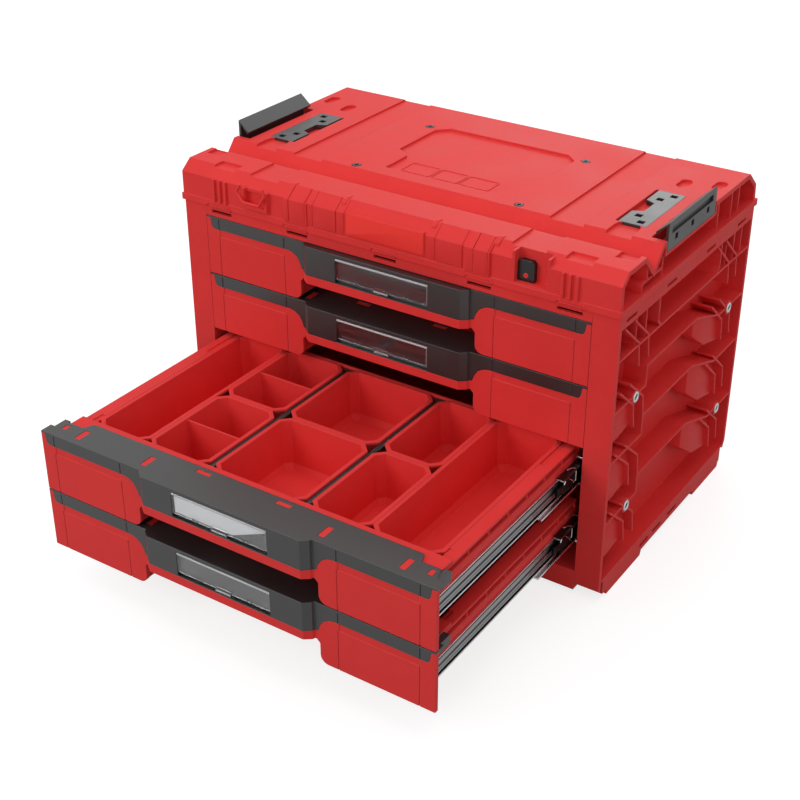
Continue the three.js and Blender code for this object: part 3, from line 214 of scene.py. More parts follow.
class StageSettings(bpy.types.PropertyGroup):
    camera_place: bpy.props.FloatVectorProperty(
        name="Camera place", description="Where the camera stands",
        default=(0.82393, -1.38691, 1.02468), size=3, subtype="TRANSLATION", unit="LENGTH")
    camera_turn: bpy.props.FloatProperty(
        name="Camera turn", description="How far the camera stands round to the right of the front",
        default=math.radians(32.599), subtype="ANGLE", unit="ROTATION")
    camera_tilt: bpy.props.FloatProperty(
        name="Camera tilt", description="How far the camera looks down",
        default=math.radians(29.137), subtype="ANGLE", unit="ROTATION")
    camera_roll: bpy.props.FloatProperty(
        name="Camera roll", description="Turn of the camera about its own line of sight",
        default=math.radians(0.482), subtype="ANGLE", unit="ROTATION")
    lens: bpy.props.FloatProperty(
        name="Lens", description="Focal length on a sensor 36 mm wide",
        default=64.6, unit="CAMERA")
    shift: bpy.props.FloatVectorProperty(
        name="Shift", description="Shift of the frame as shares of its width",
        default=(-0.03, -0.033), size=2)
    floor_tone: bpy.props.FloatProperty(
        name="Floor tone", description="How much light the floor gives back",
        default=0.38, min=0, max=1, subtype="FACTOR")
    sky: bpy.props.FloatProperty(
        name="Sky", description="Strength of the even light from all round",
        default=0.38, min=0)
    floor_mirror: bpy.props.FloatProperty(
        name="Floor mirror", description="Share of the floor's white that reflections see",
        default=0.5, min=0, max=1, subtype="FACTOR")
    floor_glow: bpy.props.FloatProperty(
        name="Floor glow", description="White that the camera sees on the floor",
        default=0.78, min=0)


class ToolboxSettings(bpy.types.PropertyGroup):
    plastic: bpy.props.PointerProperty(type=PlasticSettings)
    metal: bpy.props.PointerProperty(type=MetalSettings)
    label: bpy.props.PointerProperty(type=LabelSettings)
    stage: bpy.props.PointerProperty(type=StageSettings)


def settings():
    return bpy.context.scene.toolbox


# Node helpers

def add_node(tree, kind, **values):
    node = tree.nodes.new(kind)
    for name, value in values.items():
        setattr(node, name, value)
    return node


def set_inputs(node, values):
    for name, value in values.items():
        node.inputs[name].default_value = value


def join(tree, source, target):
    tree.links.new(source, target)


def new_group(name, inputs, outputs):
    """Node group with named sockets, and the nodes where they start and end."""
    group = bpy.data.node_groups.new(name, "ShaderNodeTree")
    for label, kind, value in inputs:
        socket = group.interface.new_socket(name=label, in_out="INPUT", socket_type=kind)
        socket.default_value = value
    for label, kind in outputs:
        group.interface.new_socket(name=label, in_out="OUTPUT", socket_type=kind)
    start = group.nodes.new("NodeGroupInput")
    end = group.nodes.new("NodeGroupOutput")
    return group, start, end


def scaled(tree, socket, low, high, start=0.0, end=1.0):
    """Value between low and high while the socket goes from start to end."""
    node = add_node(tree, "ShaderNodeMapRange")
    set_inputs(node, {"From Min": start, "From Max": end, "To Min": low, "To Max": high})
    join(tree, socket, node.inputs["Value"])
    return node.outputs["Result"]


def add_noise(tree, vector, values):
    """Noise that follows a vector."""
    noise = add_node(tree, "ShaderNodeTexNoise")
    set_inputs(noise, values)
    join(tree, vector, noise.inputs["Vector"])
    return noise


# Node groups that the materials share

def grain_group():
    """Fine spark-eroded grain: a height and a small change of gloss."""
    name = "Moulded Grain"
    if name in bpy.data.node_groups:
        return bpy.data.node_groups[name]
    group, start, end = new_group(
        name,
        [("Grain Size", "NodeSocketFloat", 0.0006), ("Flow", "NodeSocketFloat", 0.3)],
        [("Height", "NodeSocketFloat"), ("Gloss Drift", "NodeSocketFloat")])
    place = add_node(group, "ShaderNodeTexCoord").outputs["Object"]
    scale = add_node(group, "ShaderNodeMath", operation="DIVIDE")
    scale.inputs[0].default_value = 1.0
    join(group, start.outputs["Grain Size"], scale.inputs[1])
    fine = add_noise(group, place, {"Detail": 3.0, "Roughness": 0.6})
    join(group, scale.outputs[0], fine.inputs["Scale"])
    pits = add_node(group, "ShaderNodeTexVoronoi", feature="SMOOTH_F1")
    join(group, place, pits.inputs["Vector"])
    join(group, scale.outputs[0], pits.inputs["Scale"])
    both = add_node(group, "ShaderNodeMath", operation="MULTIPLY_ADD")
    join(group, pits.outputs["Distance"], both.inputs[0])
    join(group, start.outputs["Flow"], both.inputs[1])
    join(group, fine.outputs["Fac"], both.inputs[2])
    join(group, both.outputs[0], end.inputs["Height"])
    wide = add_noise(group, place, {"Scale": 14.0, "Detail": 4.0, "Roughness": 0.55})
    join(group, wide.outputs["Fac"], end.inputs["Gloss Drift"])
    return group


def edge_group():
    """Mask of the edges, broken up by noise, for a painted highlight along them, and their rounded normal."""
    name = "Rubbed Edges"
    if name in bpy.data.node_groups:
        return bpy.data.node_groups[name]
    group, start, end = new_group(
        name,
        [("Radius", "NodeSocketFloat", 0.0012), ("Break Up", "NodeSocketFloat", 0.5)],
        [("Mask", "NodeSocketFloat"), ("Rounded Normal", "NodeSocketVector")])
    round_normal = add_node(group, "ShaderNodeBevel", samples=4)
    join(group, start.outputs["Radius"], round_normal.inputs["Radius"])
    join(group, round_normal.outputs["Normal"], end.inputs["Rounded Normal"])
    flat = add_node(group, "ShaderNodeNewGeometry")
    same = add_node(group, "ShaderNodeVectorMath", operation="DOT_PRODUCT")
    join(group, round_normal.outputs["Normal"], same.inputs[0])
    join(group, flat.outputs["Normal"], same.inputs[1])
    edge = scaled(group, same.outputs["Value"], 0.0, 1.0, 0.995, 0.80)
    place = add_node(group, "ShaderNodeTexCoord").outputs["Object"]
    noise = add_noise(group, place, {"Scale": 45.0, "Detail": 5.0, "Roughness": 0.6})
    broken = add_node(group, "ShaderNodeMapRange")
    set_inputs(broken, {"From Min": 0.3, "From Max": 0.7, "To Max": 1.0})
    join(group, noise.outputs["Fac"], broken.inputs["Value"])
    rest = add_node(group, "ShaderNodeMath", operation="SUBTRACT")
    rest.inputs[0].default_value = 1.0
    join(group, start.outputs["Break Up"], rest.inputs[1])
    join(group, rest.outputs[0], broken.inputs["To Min"])
    mask = add_node(group, "ShaderNodeMath", operation="MULTIPLY")
    join(group, edge, mask.inputs[0])
    join(group, broken.outputs["Result"], mask.inputs[1])
    join(group, mask.outputs[0], end.inputs["Mask"])
    return group


def drawn_group():
    """Fine lines that run the length of drawn and plated steel."""
    name = "Drawn Lines"
    if name in bpy.data.node_groups:
        return bpy.data.node_groups[name]
    group, start, end = new_group(
        name, [("Fineness", "NodeSocketFloat", 900.0)],
        [("Height", "NodeSocketFloat"), ("Haze", "NodeSocketFloat")])
    place = add_node(group, "ShaderNodeTexCoord").outputs["Object"]
    stretch = add_node(group, "ShaderNodeMapping")
    stretch.inputs["Scale"].default_value = (1.0, 0.01, 1.0)
    join(group, place, stretch.inputs["Vector"])
    lines = add_noise(group, stretch.outputs["Vector"], {"Detail": 2.0})
    join(group, start.outputs["Fineness"], lines.inputs["Scale"])
    join(group, lines.outputs["Fac"], end.inputs["Height"])
    haze = add_noise(group, place, {"Scale": 30.0, "Detail": 4.0})
    join(group, haze.outputs["Fac"], end.inputs["Haze"])
    return group


def put_group(tree, group, values):
    node = tree.nodes.new("ShaderNodeGroup")
    node.node_tree = group
    set_inputs(node, values)
    return node


def new_material(name):
    material = bpy.data.materials.new(name)
    material.use_nodes = True
    return material, material.node_tree, material.node_tree.nodes["Principled BSDF"]


def mix_colours(tree, factor, first, second):
    """Mix of a colour, or of a socket that gives one, with a second colour."""
    mix = add_node(tree, "ShaderNodeMix", data_type="RGBA")
    if isinstance(first, bpy.types.NodeSocket):
        join(tree, first, mix.inputs["A"])
    else:
        mix.inputs["A"].default_value = (*first, 1.0)
    mix.inputs["B"].default_value = (*second, 1.0)
    join(tree, factor, mix.inputs["Factor"])
    return mix.outputs["Result"]


def add_relief(tree, shader, height, strength, normal=None):
    """Fine bumps of the surface, over a given normal if there is one."""
    relief = add_node(tree, "ShaderNodeBump")
    set_inputs(relief, {"Strength": strength, "Distance": RELIEF_DEPTH * MM})
    join(tree, height, relief.inputs["Height"])
    if normal is not None:
        join(tree, normal, relief.inputs["Normal"])
    join(tree, relief.outputs["Normal"], shader.inputs["Normal"])


def tint(colour, gain, lift=0.0):
    """Paler or darker form of a colour."""
    return tuple(min(1.0, part * gain + lift) for part in colour)


# Materials

def plastic(name, colour, pale, edge_highlight, roughness, bump, highlight_share, shine):
    """Moulded plastic: grain, slow change of tone and gloss, and a painted highlight along the edges."""
    if name in bpy.data.materials:
        return bpy.data.materials[name]
    material, tree, shader = new_material(name)
    grain = put_group(tree, grain_group(), {"Grain Size": settings().plastic.grain, "Flow": 0.4})
    edges = put_group(tree, edge_group(), {"Radius": 0.0011, "Break Up": 0.45})
    drift = grain.outputs["Gloss Drift"]
    tone = mix_colours(tree, scaled(tree, drift, 0.0, 1.0, *TONE_STRETCH), colour, pale)
    # Paler colour along the edges: a painted highlight
    highlighted = mix_colours(tree, scaled(tree, edges.outputs["Mask"], 0.0, highlight_share), tone, edge_highlight)
    join(tree, highlighted, shader.inputs["Base Color"])
    gloss = scaled(tree, drift, roughness - 0.05, roughness + 0.06, *GLOSS_STRETCH)
    join(tree, gloss, shader.inputs["Roughness"])
    add_relief(tree, shader, grain.outputs["Height"], bump, edges.outputs["Rounded Normal"])
    set_inputs(shader, {"IOR": 1.5, "Specular IOR Level": shine})
    return material


def red_plastic():
    red = settings().plastic.red
    return plastic("moulded_red", red, pale=tint(red, 1.05, 0.003), edge_highlight=tint(red, 1.15, 0.13),
                   roughness=0.5, bump=0.2, highlight_share=0.55, shine=0.1)


def charcoal_plastic():
    dark = settings().plastic.charcoal
    return plastic("moulded_charcoal", dark, pale=tint(dark, 1.15), edge_highlight=tint(dark, 4.0),
                   roughness=0.4, bump=0.5, highlight_share=0.5, shine=0.78)


def shade_black_plastic():
    # Near black, darker than black plastic: the cages' own black with painted shade in the channel; also
    # painted shade in the screw recesses
    dark = tint(settings().plastic.charcoal, 0.12)
    return plastic("cage_black_and_shade", dark, pale=tint(dark, 1.2), edge_highlight=tint(dark, 2.0),
                   roughness=0.3, bump=0.3, highlight_share=0.3, shine=0.1)


def tab_plastic():
    """Polished black plastic of the lock tab."""
    dark = tint(settings().plastic.charcoal, 0.6)
    return plastic("polished_black", dark, pale=tint(dark, 1.2), edge_highlight=tint(dark, 3.0),
                   roughness=0.28, bump=0.2, highlight_share=0.4, shine=0.5)


def badge_plastic():
    bright = settings().plastic.badge
    return plastic("moulded_badge", bright, pale=tint(bright, 1.03), edge_highlight=tint(bright, 1.0, 0.04),
                   roughness=0.33, bump=0.12, highlight_share=0.2, shine=0.15)


def glint_plastic():
    """Hinge rods and pull tabs of the clear covers, in a pale grey that paints the highlight their clear
    edges gather.
    """
    glow = settings().label.edge
    return plastic("cover_painted_glint", glow, pale=tint(glow, 1.05), edge_highlight=tint(glow, 1.2),
                   roughness=0.12, bump=0.05, highlight_share=0.3, shine=0.5)


def rim_plastic():
    """Rims and pips of the clear covers."""
    glow = tint(settings().label.edge, 0.45)
    return plastic("cover_rim", glow, pale=tint(glow, 1.1), edge_highlight=tint(glow, 1.5),
                   roughness=0.2, bump=0.1, highlight_share=0.3, shine=0.4)


def steel(name, colour, roughness):
    """Plated steel with drawn lines, a light haze and a painted highlight along the edges."""
    if name in bpy.data.materials:
        return bpy.data.materials[name]
    material, tree, shader = new_material(name)
    lines = put_group(tree, drawn_group(), {"Fineness": 900.0})
    edges = put_group(tree, edge_group(), {"Radius": 0.0006, "Break Up": 0.6})
    haze = lines.outputs["Haze"]
    tone = mix_colours(tree, scaled(tree, haze, 0.0, 1.0, *TONE_STRETCH), tint(colour, 0.92), colour)
    # Paler colour along the edges: a painted highlight
    highlighted = mix_colours(tree, scaled(tree, edges.outputs["Mask"], 0.0, 0.4), tone, tint(colour, 1.2))
    join(tree, highlighted, shader.inputs["Base Color"])
    gloss = scaled(tree, haze, roughness - 0.04, roughness + 0.07, *GLOSS_STRETCH)
    join(tree, gloss, shader.inputs["Roughness"])
    add_relief(tree, shader, lines.outputs["Height"], 0.03, edges.outputs["Rounded Normal"])
    shader.inputs["Metallic"].default_value = 1.0
    return material


def slide_steel():
    return steel("slide_steel", settings().metal.steel, roughness=0.16)


def slide_painted_shade():
    """Steel darkened as painted shade on the raceways and the undersides of the pressed bands."""
    return steel("slide_painted_shade", tint(settings().metal.steel, 0.10), roughness=0.30)


def slide_painted_half_shade():
    # Steel at 45 per cent: painted half shade on the pressed bands
    return steel("slide_painted_half_shade", tint(settings().metal.steel, 0.45), roughness=0.28)


def bush_steel():
    return steel("bush_steel", tint(settings().metal.steel, 0.8), roughness=0.28)


def screw_steel():
    return steel("screw_steel", settings().metal.screw, roughness=0.42)


def clear_plastic():
    """Clear cover with faint haze from wiping."""
    name = "clear_cover"
    if name in bpy.data.materials:
        return bpy.data.materials[name]
    material, tree, shader = new_material(name)
    grain = put_group(tree, grain_group(), {"Grain Size": 0.0009, "Flow": 0.2})
    drift = grain.outputs["Gloss Drift"]
    clear = settings().label.clear
    join(tree, mix_colours(tree, drift, clear, tint(clear, 0.97)), shader.inputs["Base Color"])
    join(tree, scaled(tree, drift, 0.03, 0.09, *GLOSS_STRETCH), shader.inputs["Roughness"])
    set_inputs(shader, {"Transmission Weight": 1.0, "IOR": 1.49, "Specular IOR Level": 0.12})
    return material


def reflection_card_white():
    """White with fine grain for the painted reflection on the filled drawer's label cover."""
    name = "painted_reflection_white"
    if name in bpy.data.materials:
        return bpy.data.materials[name]
    material, tree, shader = new_material(name)
    grain = put_group(tree, grain_group(), {"Grain Size": 0.0004, "Flow": 0.6})
    fibres = grain.outputs["Height"]
    card = settings().label.card
    join(tree, mix_colours(tree, fibres, tint(card, 0.95), card), shader.inputs["Base Color"])
    join(tree, scaled(tree, grain.outputs["Gloss Drift"], 0.6, 0.75), shader.inputs["Roughness"])
    add_relief(tree, shader, fibres, 0.2)
    return material


# Mesh helpers, for shapes drawn in millimetres in the frame of the CAD model

AXES = {
    "x": lambda across, up, along: (along, across, up),
    "y": lambda across, up, along: (across, along, up),
    "z": lambda across, up, along: (across, up, along),
}


def split_edges(piece):
    """Keeps sharp edges sharp and round faces smooth, without moving a vertex."""
    piece.data.polygons.foreach_set("use_smooth", [True] * len(piece.data.polygons))
    split = piece.modifiers.new("Sharp edges", "EDGE_SPLIT")
    split.split_angle = math.radians(SPLIT_ANGLE)


def dress(node, material):
    """Gives a CAD node its finish."""
    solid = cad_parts[node]
    mesh = solid.data
    mesh.materials.clear()
    mesh.materials.append(material)
    if "custom_normal" in mesh.attributes:
        mesh.attributes.remove(mesh.attributes["custom_normal"])
    weld = solid.modifiers.new("Weld", "WELD")
    weld.merge_threshold = WELD_GAP * MM
    split_edges(solid)


def to_mesh(name, shape, radius=0.0):
    """Mesh in metres from a shape in millimetres, with its sharp edges rounded."""
    bmesh.ops.recalc_face_normals(shape, faces=shape.faces)
    if radius:
        limit = math.radians(BEVEL_ANGLE)
        sharp = [edge for edge in shape.edges if edge.calc_face_angle(0.0) > limit]
        bmesh.ops.bevel(shape, geom=sharp, offset=radius, segments=2, profile=0.5, affect="EDGES",
                        clamp_overlap=True)
    bmesh.ops.scale(shape, vec=(MM, MM, MM), verts=shape.verts)
    mesh = bpy.data.meshes.new(name)
    shape.to_mesh(mesh)
    shape.free()
    return mesh


def add_piece(mesh, material, body):
    """Puts a mesh into the scene as a piece of the same name that rides on a body."""
    piece = bpy.data.objects.new(mesh.name, mesh)
    bpy.context.scene.collection.objects.link(piece)
    mesh.materials.append(material)
    split_edges(piece)
    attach(piece, body)
    return piece


def add_red(mesh, body="cabinet"):
    """Puts a mesh into the scene as a piece of red plastic."""
    add_piece(mesh, red_plastic(), body)


def corner_of(node):
    """Lowest and highest corner of a CAD node in millimetres."""
    low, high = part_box(node)
    return low / MM, high / MM


def span(sign, near, far):
    """Two distances from the middle as places on one side, in rising order."""
    return sorted((sign * near, sign * far))


def prism_mesh(name, axis, outline, start, end, radius=0.0):
    """Outline pushed along an axis."""
    shape = bmesh.new()
    turn = AXES[axis]
    first = [shape.verts.new(turn(across, up, start)) for across, up in outline]
    last = [shape.verts.new(turn(across, up, end)) for across, up in outline]
    shape.faces.new(first)
    shape.faces.new(last[::-1])
    for index, corner in enumerate(first):
        after = (index + 1) % len(first)
        shape.faces.new((corner, last[index], last[after], first[after]))
    return to_mesh(name, shape, radius)


def bar_mesh(name, low, high, radius):
    """Block between two corners, with rounded edges."""
    (x0, y0, z0), (x1, y1, z1) = low, high
    return prism_mesh(name, "z", [(x0, y0), (x1, y0), (x1, y1), (x0, y1)], z0, z1, radius)


def ring_mesh(name, axis, outer, inner, start, end, radius=0.0):
    """Plate with a hole, from two loops with the same number of points."""
    shape = bmesh.new()
    turn = AXES[axis]
    loops = [[shape.verts.new(turn(across, up, along)) for across, up in loop]
             for loop in (outer, inner) for along in (start, end)]
    outer_low, outer_high, inner_low, inner_high = loops
    for near, far in ((outer_low, outer_high), (outer_high, inner_high), (inner_high, inner_low),
                      (inner_low, outer_low)):
        for index, corner in enumerate(near):
            after = (index + 1) % len(near)
            shape.faces.new((corner, near[after], far[after], far[index]))
    return to_mesh(name, shape, radius)


def round_loop(low, high, corner, steps=4):
    """Rectangle with round corners."""
    (x0, y0), (x1, y1) = low, high
    centres = ((x1 - corner, y0 + corner, -90), (x1 - corner, y1 - corner, 0),
               (x0 + corner, y1 - corner, 90), (x0 + corner, y0 + corner, 180))
    angles = [(centre, math.radians(centre[2] + 90 * step / steps)) for centre in centres
              for step in range(steps + 1)]
    return [(centre[0] + corner * math.cos(angle), centre[1] + corner * math.sin(angle))
            for centre, angle in angles]


def lathe_mesh(name, profile, centre, axis, steps=24):
    """Turned shape from radius and height pairs, about an axis through a centre."""
    shape = bmesh.new()
    turn = AXES[axis]
    middle = Vector(centre)
    rings = []
    for radius, height in profile:
        angles = [2 * math.pi * step / steps for step in range(steps if radius else 1)]
        places = [Vector(turn(radius * math.cos(angle), radius * math.sin(angle), height))
                  for angle in angles]
        rings.append([shape.verts.new(place + middle) for place in places])
    for low, high in zip(rings, rings[1:]):
        for step in range(steps):
            after = (step + 1) % steps
            corners = (low[step % len(low)], low[after % len(low)],
                       high[after % len(high)], high[step % len(high)])
            corners = list(dict.fromkeys(corners))
            if len(corners) > 2:
                shape.faces.new(corners)
    return to_mesh(name, shape)


def wire_mesh(name, points, radius, steps=10):
    """Bent wire through points, with a ring at each point."""
    path = [Vector(point) for point in points]
    angles = [2 * math.pi * step / steps for step in range(steps)]
    shape = bmesh.new()
    rings = []
    for index, point in enumerate(path):
        ahead = (path[min(index + 1, len(path) - 1)] - path[max(index - 1, 0)]).normalized()
        across = ahead.cross(Vector((0.1, 1, 0.2))).normalized()
        up = across.cross(ahead)
        rings.append([shape.verts.new(point + radius * (across * math.cos(angle) + up * math.sin(angle)))
                      for angle in angles])
    for low, high in zip(rings, rings[1:]):
        for step in range(steps):
            after = (step + 1) % steps
            shape.faces.new((low[step], low[after], high[after], high[step]))
    shape.faces.new(rings[0][::-1])
    shape.faces.new(rings[-1])
    return to_mesh(name, shape)


def add_prism(shape, points, side, start, end, tones=None):
    """Adds an outline across one side, pushed along its length, to a shape."""
    first = [shape.verts.new((side * x, start, z)) for x, z in points]
    last = [shape.verts.new((side * x, end, z)) for x, z in points]
    shape.faces.new(first)
    shape.faces.new(last[::-1])
    for index, corner in enumerate(first):
        after = (index + 1) % len(first)
        face = shape.faces.new((corner, last[index], last[after], first[after]))
        face.material_index = tones[index] if tones else 0


# Cabinet

def bush(side, sign, number, centre):
    """Metal ring of a side boss, and a dark disc in its hole as painted shade."""
    radius = settings().metal.bush_radius / MM
    for part, shares, material in (("bush", BUSH_RING, bush_steel()),
                                   ("bush_hole_shade", BUSH_HOLE_SHADE, charcoal_plastic())):
        profile = [(radius * share, sign * height) for share, height in shares]
        mesh = lathe_mesh(f"{part}_{side}_{number}", profile, centre, "x")
        add_piece(mesh, material, "cabinet")


def side_gussets(side, sign, number, shelf):
    """Plates between the bent ribs of a side panel, under one of its shelves."""
    low, high = corner_of("side_panel_right")
    knee = corner_of(f"drawer_{4 - number}_front")[0].z - KNEE_DROP
    rise = shelf - knee - GUSSET_GAP
    meet = (RIB_FALL - min(rise, RIB_FALL)) * RIB_RUN / RIB_FALL
    inner_end = [(meet + 22, rise), (61, 0), (65, -28), (45.5, -28), (40, 0)]
    rear_top = [(-42, rise + 24), (0, min(rise + 9, 31)), (22, min(rise + 1, 12.5))]
    plates = {
        "front": (FRONT_RIB, GUSSET_FACE,
                  [(-10, rise), (meet - 1, rise), (37, 0), (42, -28), (12, -32), (-10, -32)]),
        "front_inner": (FRONT_RIB, GUSSET_INNER, [(meet + 2, rise), *inner_end]),
        "rear": (REAR_RIB, GUSSET_FACE, [*rear_top, (37, 0), (42, -30), (0, -20), (-42, 10)]),
        "rear_inner": (REAR_RIB, GUSSET_INNER, [(meet + 3, rise), *inner_end]),
    }
    for place, (share, reach, points) in plates.items():
        start = low.y + share * (high.y - low.y)
        outline = [(start + along, knee + up) for along, up in points]
        add_red(prism_mesh(f"gusset_{side}_{number}_{place}", "x", outline, *span(sign, *reach), 0.4))


class TOOLBOX_OT_cabinet(bpy.types.Operator):
    """Finish the side panels with their metal bushes, the base and the back"""
    bl_idname = "toolbox.cabinet"
    bl_label = "Cabinet"

    def execute(self, context):
        for node in ("side_panel_right", "side_panel_left", "base_panel", "back_panel"):
            dress(node, red_plastic())
        low, high = corner_of("side_panel_right")
        places = [(low.y + share * (high.y - low.y), up * high.z)
                  for share in BUSH_DEPTH_SHARES for up in BUSH_HEIGHT_SHARES]
        for side, sign in SIDES.items():
            for number, (y, z) in enumerate(places, 1):
                bush(side, sign, number, (sign * high.x, y, z))
            for number, shelf in enumerate(GUSSET_SHELVES, 1):
                side_gussets(side, sign, number, shelf * high.z)
        return {"FINISHED"}


# Top cover

def band_lines():
    """Front face of the band and height of the deck."""
    low, high = corner_of("top_cover")
    return low.y + FLANGE_STEP, high.z


def lock_tab_eye():
    """Red disc in the round hole of the lock tab."""
    low, high = corner_of("central_lock_slider")
    centre = ((low.x + high.x) / 2, low.y, low.z + TAB_EYE_SHARE * (high.z - low.z))
    profile = [(0, -0.25), (TAB_EYE_RADIUS - 0.4, -0.25), (TAB_EYE_RADIUS, 0.1), (0, 0.1)]
    add_red(lathe_mesh("lock_tab_eye", profile, centre, "y"), "central_lock")


def latch_shade_plate(side, sign):
    """Thin dark plate behind the slot and the square holes of a latch, painted shade that keeps them from
    showing through.
    """
    low, high = corner_of(f"stacking_latch_{side}")
    reach = max(abs(low.x), abs(high.x)) - LATCH_PLATE
    x0, x1 = span(sign, reach - 0.9, reach + 0.05)
    mesh = bar_mesh(f"latch_shade_plate_{side}", (x0, low.y + 5, high.z - 27), (x1, high.y - 5, high.z - 6), 0.2)
    add_piece(mesh, charcoal_plastic(), f"latch_{side}")


def cover_end(side, sign):
    """Bent rib and short plate in the open end of the cover, under the valley."""
    front, deck = band_lines()
    flange = deck - FLANGE_DROP
    bent = [(51.5, 0), (51.5, 8), (55.5, 11.5), (103.5, 11.5), (103.5, 9), (56.5, 9), (54, 7), (54, 0)]
    plate = [(62.8, 10.5), (62.8, 29), (65.2, 26.5), (65.2, 10.5)]
    for part, points in (("rib", bent), ("plate", plate)):
        outline = [(front + along, flange + up) for along, up in points]
        add_red(prism_mesh(f"cover_end_{part}_{side}", "x", outline, *span(sign, *COVER_END), 0.3))


def cross_loop(reach, width, steps=3):
    """Cross outline with extra points along its edges."""
    half = width / 2
    quarter = [(reach, -half), (reach, half), (half, half)]
    corners = []
    for turn in range(4):
        angle = math.radians(90 * turn)
        corners += [(x * math.cos(angle) - y * math.sin(angle), x * math.sin(angle) + y * math.cos(angle))
                    for x, y in quarter]
    points = []
    for index, (x, y) in enumerate(corners):
        after_x, after_y = corners[(index + 1) % len(corners)]
        points += [(x + (after_x - x) * step / steps, y + (after_y - y) * step / steps)
                   for step in range(steps)]
    return points


def deck_screw(name, x, y, deck):
    """Dark round head with a cross, and a near-black disc under the cross as painted shade in its recess."""
    radius = settings().metal.screw_radius / MM
    cross = cross_loop(radius * CROSS_REACH, radius * CROSS_WIDTH)
    angles = [math.atan2(up, across) for across, up in cross]
    inner = [(x + across, y + up) for across, up in cross]
    outer = [(x + radius * math.cos(angle), y + radius * math.sin(angle)) for angle in angles]
    head = ring_mesh(name, "z", outer, inner, deck - SCREW_SUNK, deck + SCREW_PROUD, 0.25)
    add_piece(head, screw_steel(), "cabinet")
    # Near-black disc: painted shade in the cross recess
    floor = lathe_mesh(f"{name}_recess", [(radius * 0.7, 0.3), (0, 0)], (x, y, deck - 1.4), "z")
    add_piece(floor, shade_black_plastic(), "cabinet")


def bare_frame(name, x0, x1, deck):
    """Empty raised frame in the deck's recess."""
    outer_corner, inner_corner = FRAME_CORNERS
    start = (x0 + FRAME_RIM, FRAME_FRONT + FRAME_RIM)
    end = (x1 - FRAME_RIM, FRAME_REAR - FRAME_RIM)
    outer = round_loop((x0, FRAME_FRONT), (x1, FRAME_REAR), outer_corner)
    inner = round_loop(start, end, inner_corner)
    bottom, top = (deck - drop for drop in FRAME_DROPS)
    add_red(ring_mesh(name, "z", outer, inner, bottom, top, 0.2))


def band_facet(name, x0, x1, proud):
    """Raised plate that follows the front band and its sloping top."""
    front, deck = band_lines()
    outline = [(front - proud, deck - 38), (front - proud, deck - 11.5), (front + 14.2, deck + proud * 0.4),
               (front + 15.5, deck - 1), (front + 2, deck - 13), (front + 2, deck - 38)]
    add_red(prism_mesh(name, "x", outline, x0, x1, 0.4))


def band_fin(name, x0, x1):
    """Small upright fin where the band's slope meets the strip behind it."""
    front, deck = band_lines()
    outline = [(front + 6, deck - 9.5), (front + 7.5, deck - 3), (front + 15, deck + 0.9),
               (front + FIN_DEPTH, deck + 0.9), (front + FIN_DEPTH + 2, deck - 1), (front + 15.5, deck - 1)]
    add_red(prism_mesh(name, "x", outline, x0, x1, 0.4))


def pull_loop():
    """Six-sided pull loop that stands off the frame at the left of the band."""
    front = corner_of("top_cover")[0].y
    near, far = front - 1.0, front - 3.4
    loop = [(-197, near, 405), (-202, near - 1, 395), (-192, far, 384.5), (-168.5, far, 384.5),
            (-161, near - 1, 397), (-164.5, near, 405)]
    add_red(wire_mesh("pull_loop", loop, 1.8, 12))


def clip_outline(number, x):
    """Raised outline over a clip slot in the cover's lower edge."""
    front, deck = band_lines()
    half, slope, thick = 15.5, 3.2, 1.1
    base, crest = deck - CLIP_BASE_DROP, deck - CLIP_CREST_DROP
    outer = [(x - half - slope, base), (x - half, crest), (x + half, crest), (x + half + slope, base)]
    inner = [(x + half + slope - 1.4 * thick, base), (x + half - 0.5 * thick, crest - thick),
             (x - half + 0.5 * thick, crest - thick), (x - half - slope + 1.4 * thick, base)]
    add_red(prism_mesh(f"clip_outline_{number}", "y", outer + inner, front - 2.1, front - 0.6, 0.15))
    start = (x - half + 2, front - 1.9, base + 0.3)
    end = (x + half - 2, front - 0.6, base + 1.6)
    add_red(bar_mesh(f"clip_bar_{number}", start, end, 0.2))


def badge_face():
    """Bare bright plate on the badge."""
    outline = round_loop(BADGE_LOW, BADGE_HIGH, 2.5)
    mesh = prism_mesh("badge_face", "y", outline, BADGE_FRONT - 0.7, BADGE_FRONT + 0.5, 0.3)
    add_piece(mesh, badge_plastic(), "cabinet")


class TOOLBOX_OT_cover(bpy.types.Operator):
    """Finish the top cover with its badge, bare frames and screws, and the latches and lock pieces"""
    bl_idname = "toolbox.cover"
    bl_label = "Top cover"

    def execute(self, context):
        dress("top_cover", red_plastic())
        dress("central_lock_slider", tab_plastic())
        lock_tab_eye()
        for side, sign in SIDES.items():
            dress(f"stacking_latch_{side}", charcoal_plastic())
            dress(f"deck_lock_plate_{side}", charcoal_plastic())
            latch_shade_plate(side, sign)
            cover_end(side, sign)
        high = corner_of("top_cover")[1]
        for number, (x, y) in enumerate(SCREW_PLACES, 1):
            deck_screw(f"deck_screw_{number}", x, y, high.z)
        for number, (x0, x1) in enumerate(FRAME_SPANS, 1):
            bare_frame(f"bare_frame_{number}", x0, x1, high.z)
        for number, (x0, x1, proud) in enumerate(FACETS, 1):
            band_facet(f"band_facet_{number}", x0, x1, proud)
        for number, (x0, x1) in enumerate(FIN_SPANS, 1):
            band_fin(f"band_fin_{number}", x0, x1)
        pull_loop()
        for number, share in enumerate(CLIP_SHARES, 1):
            clip_outline(number, share * high.x)
        badge_face()
        return {"FINISHED"}


# Drawers

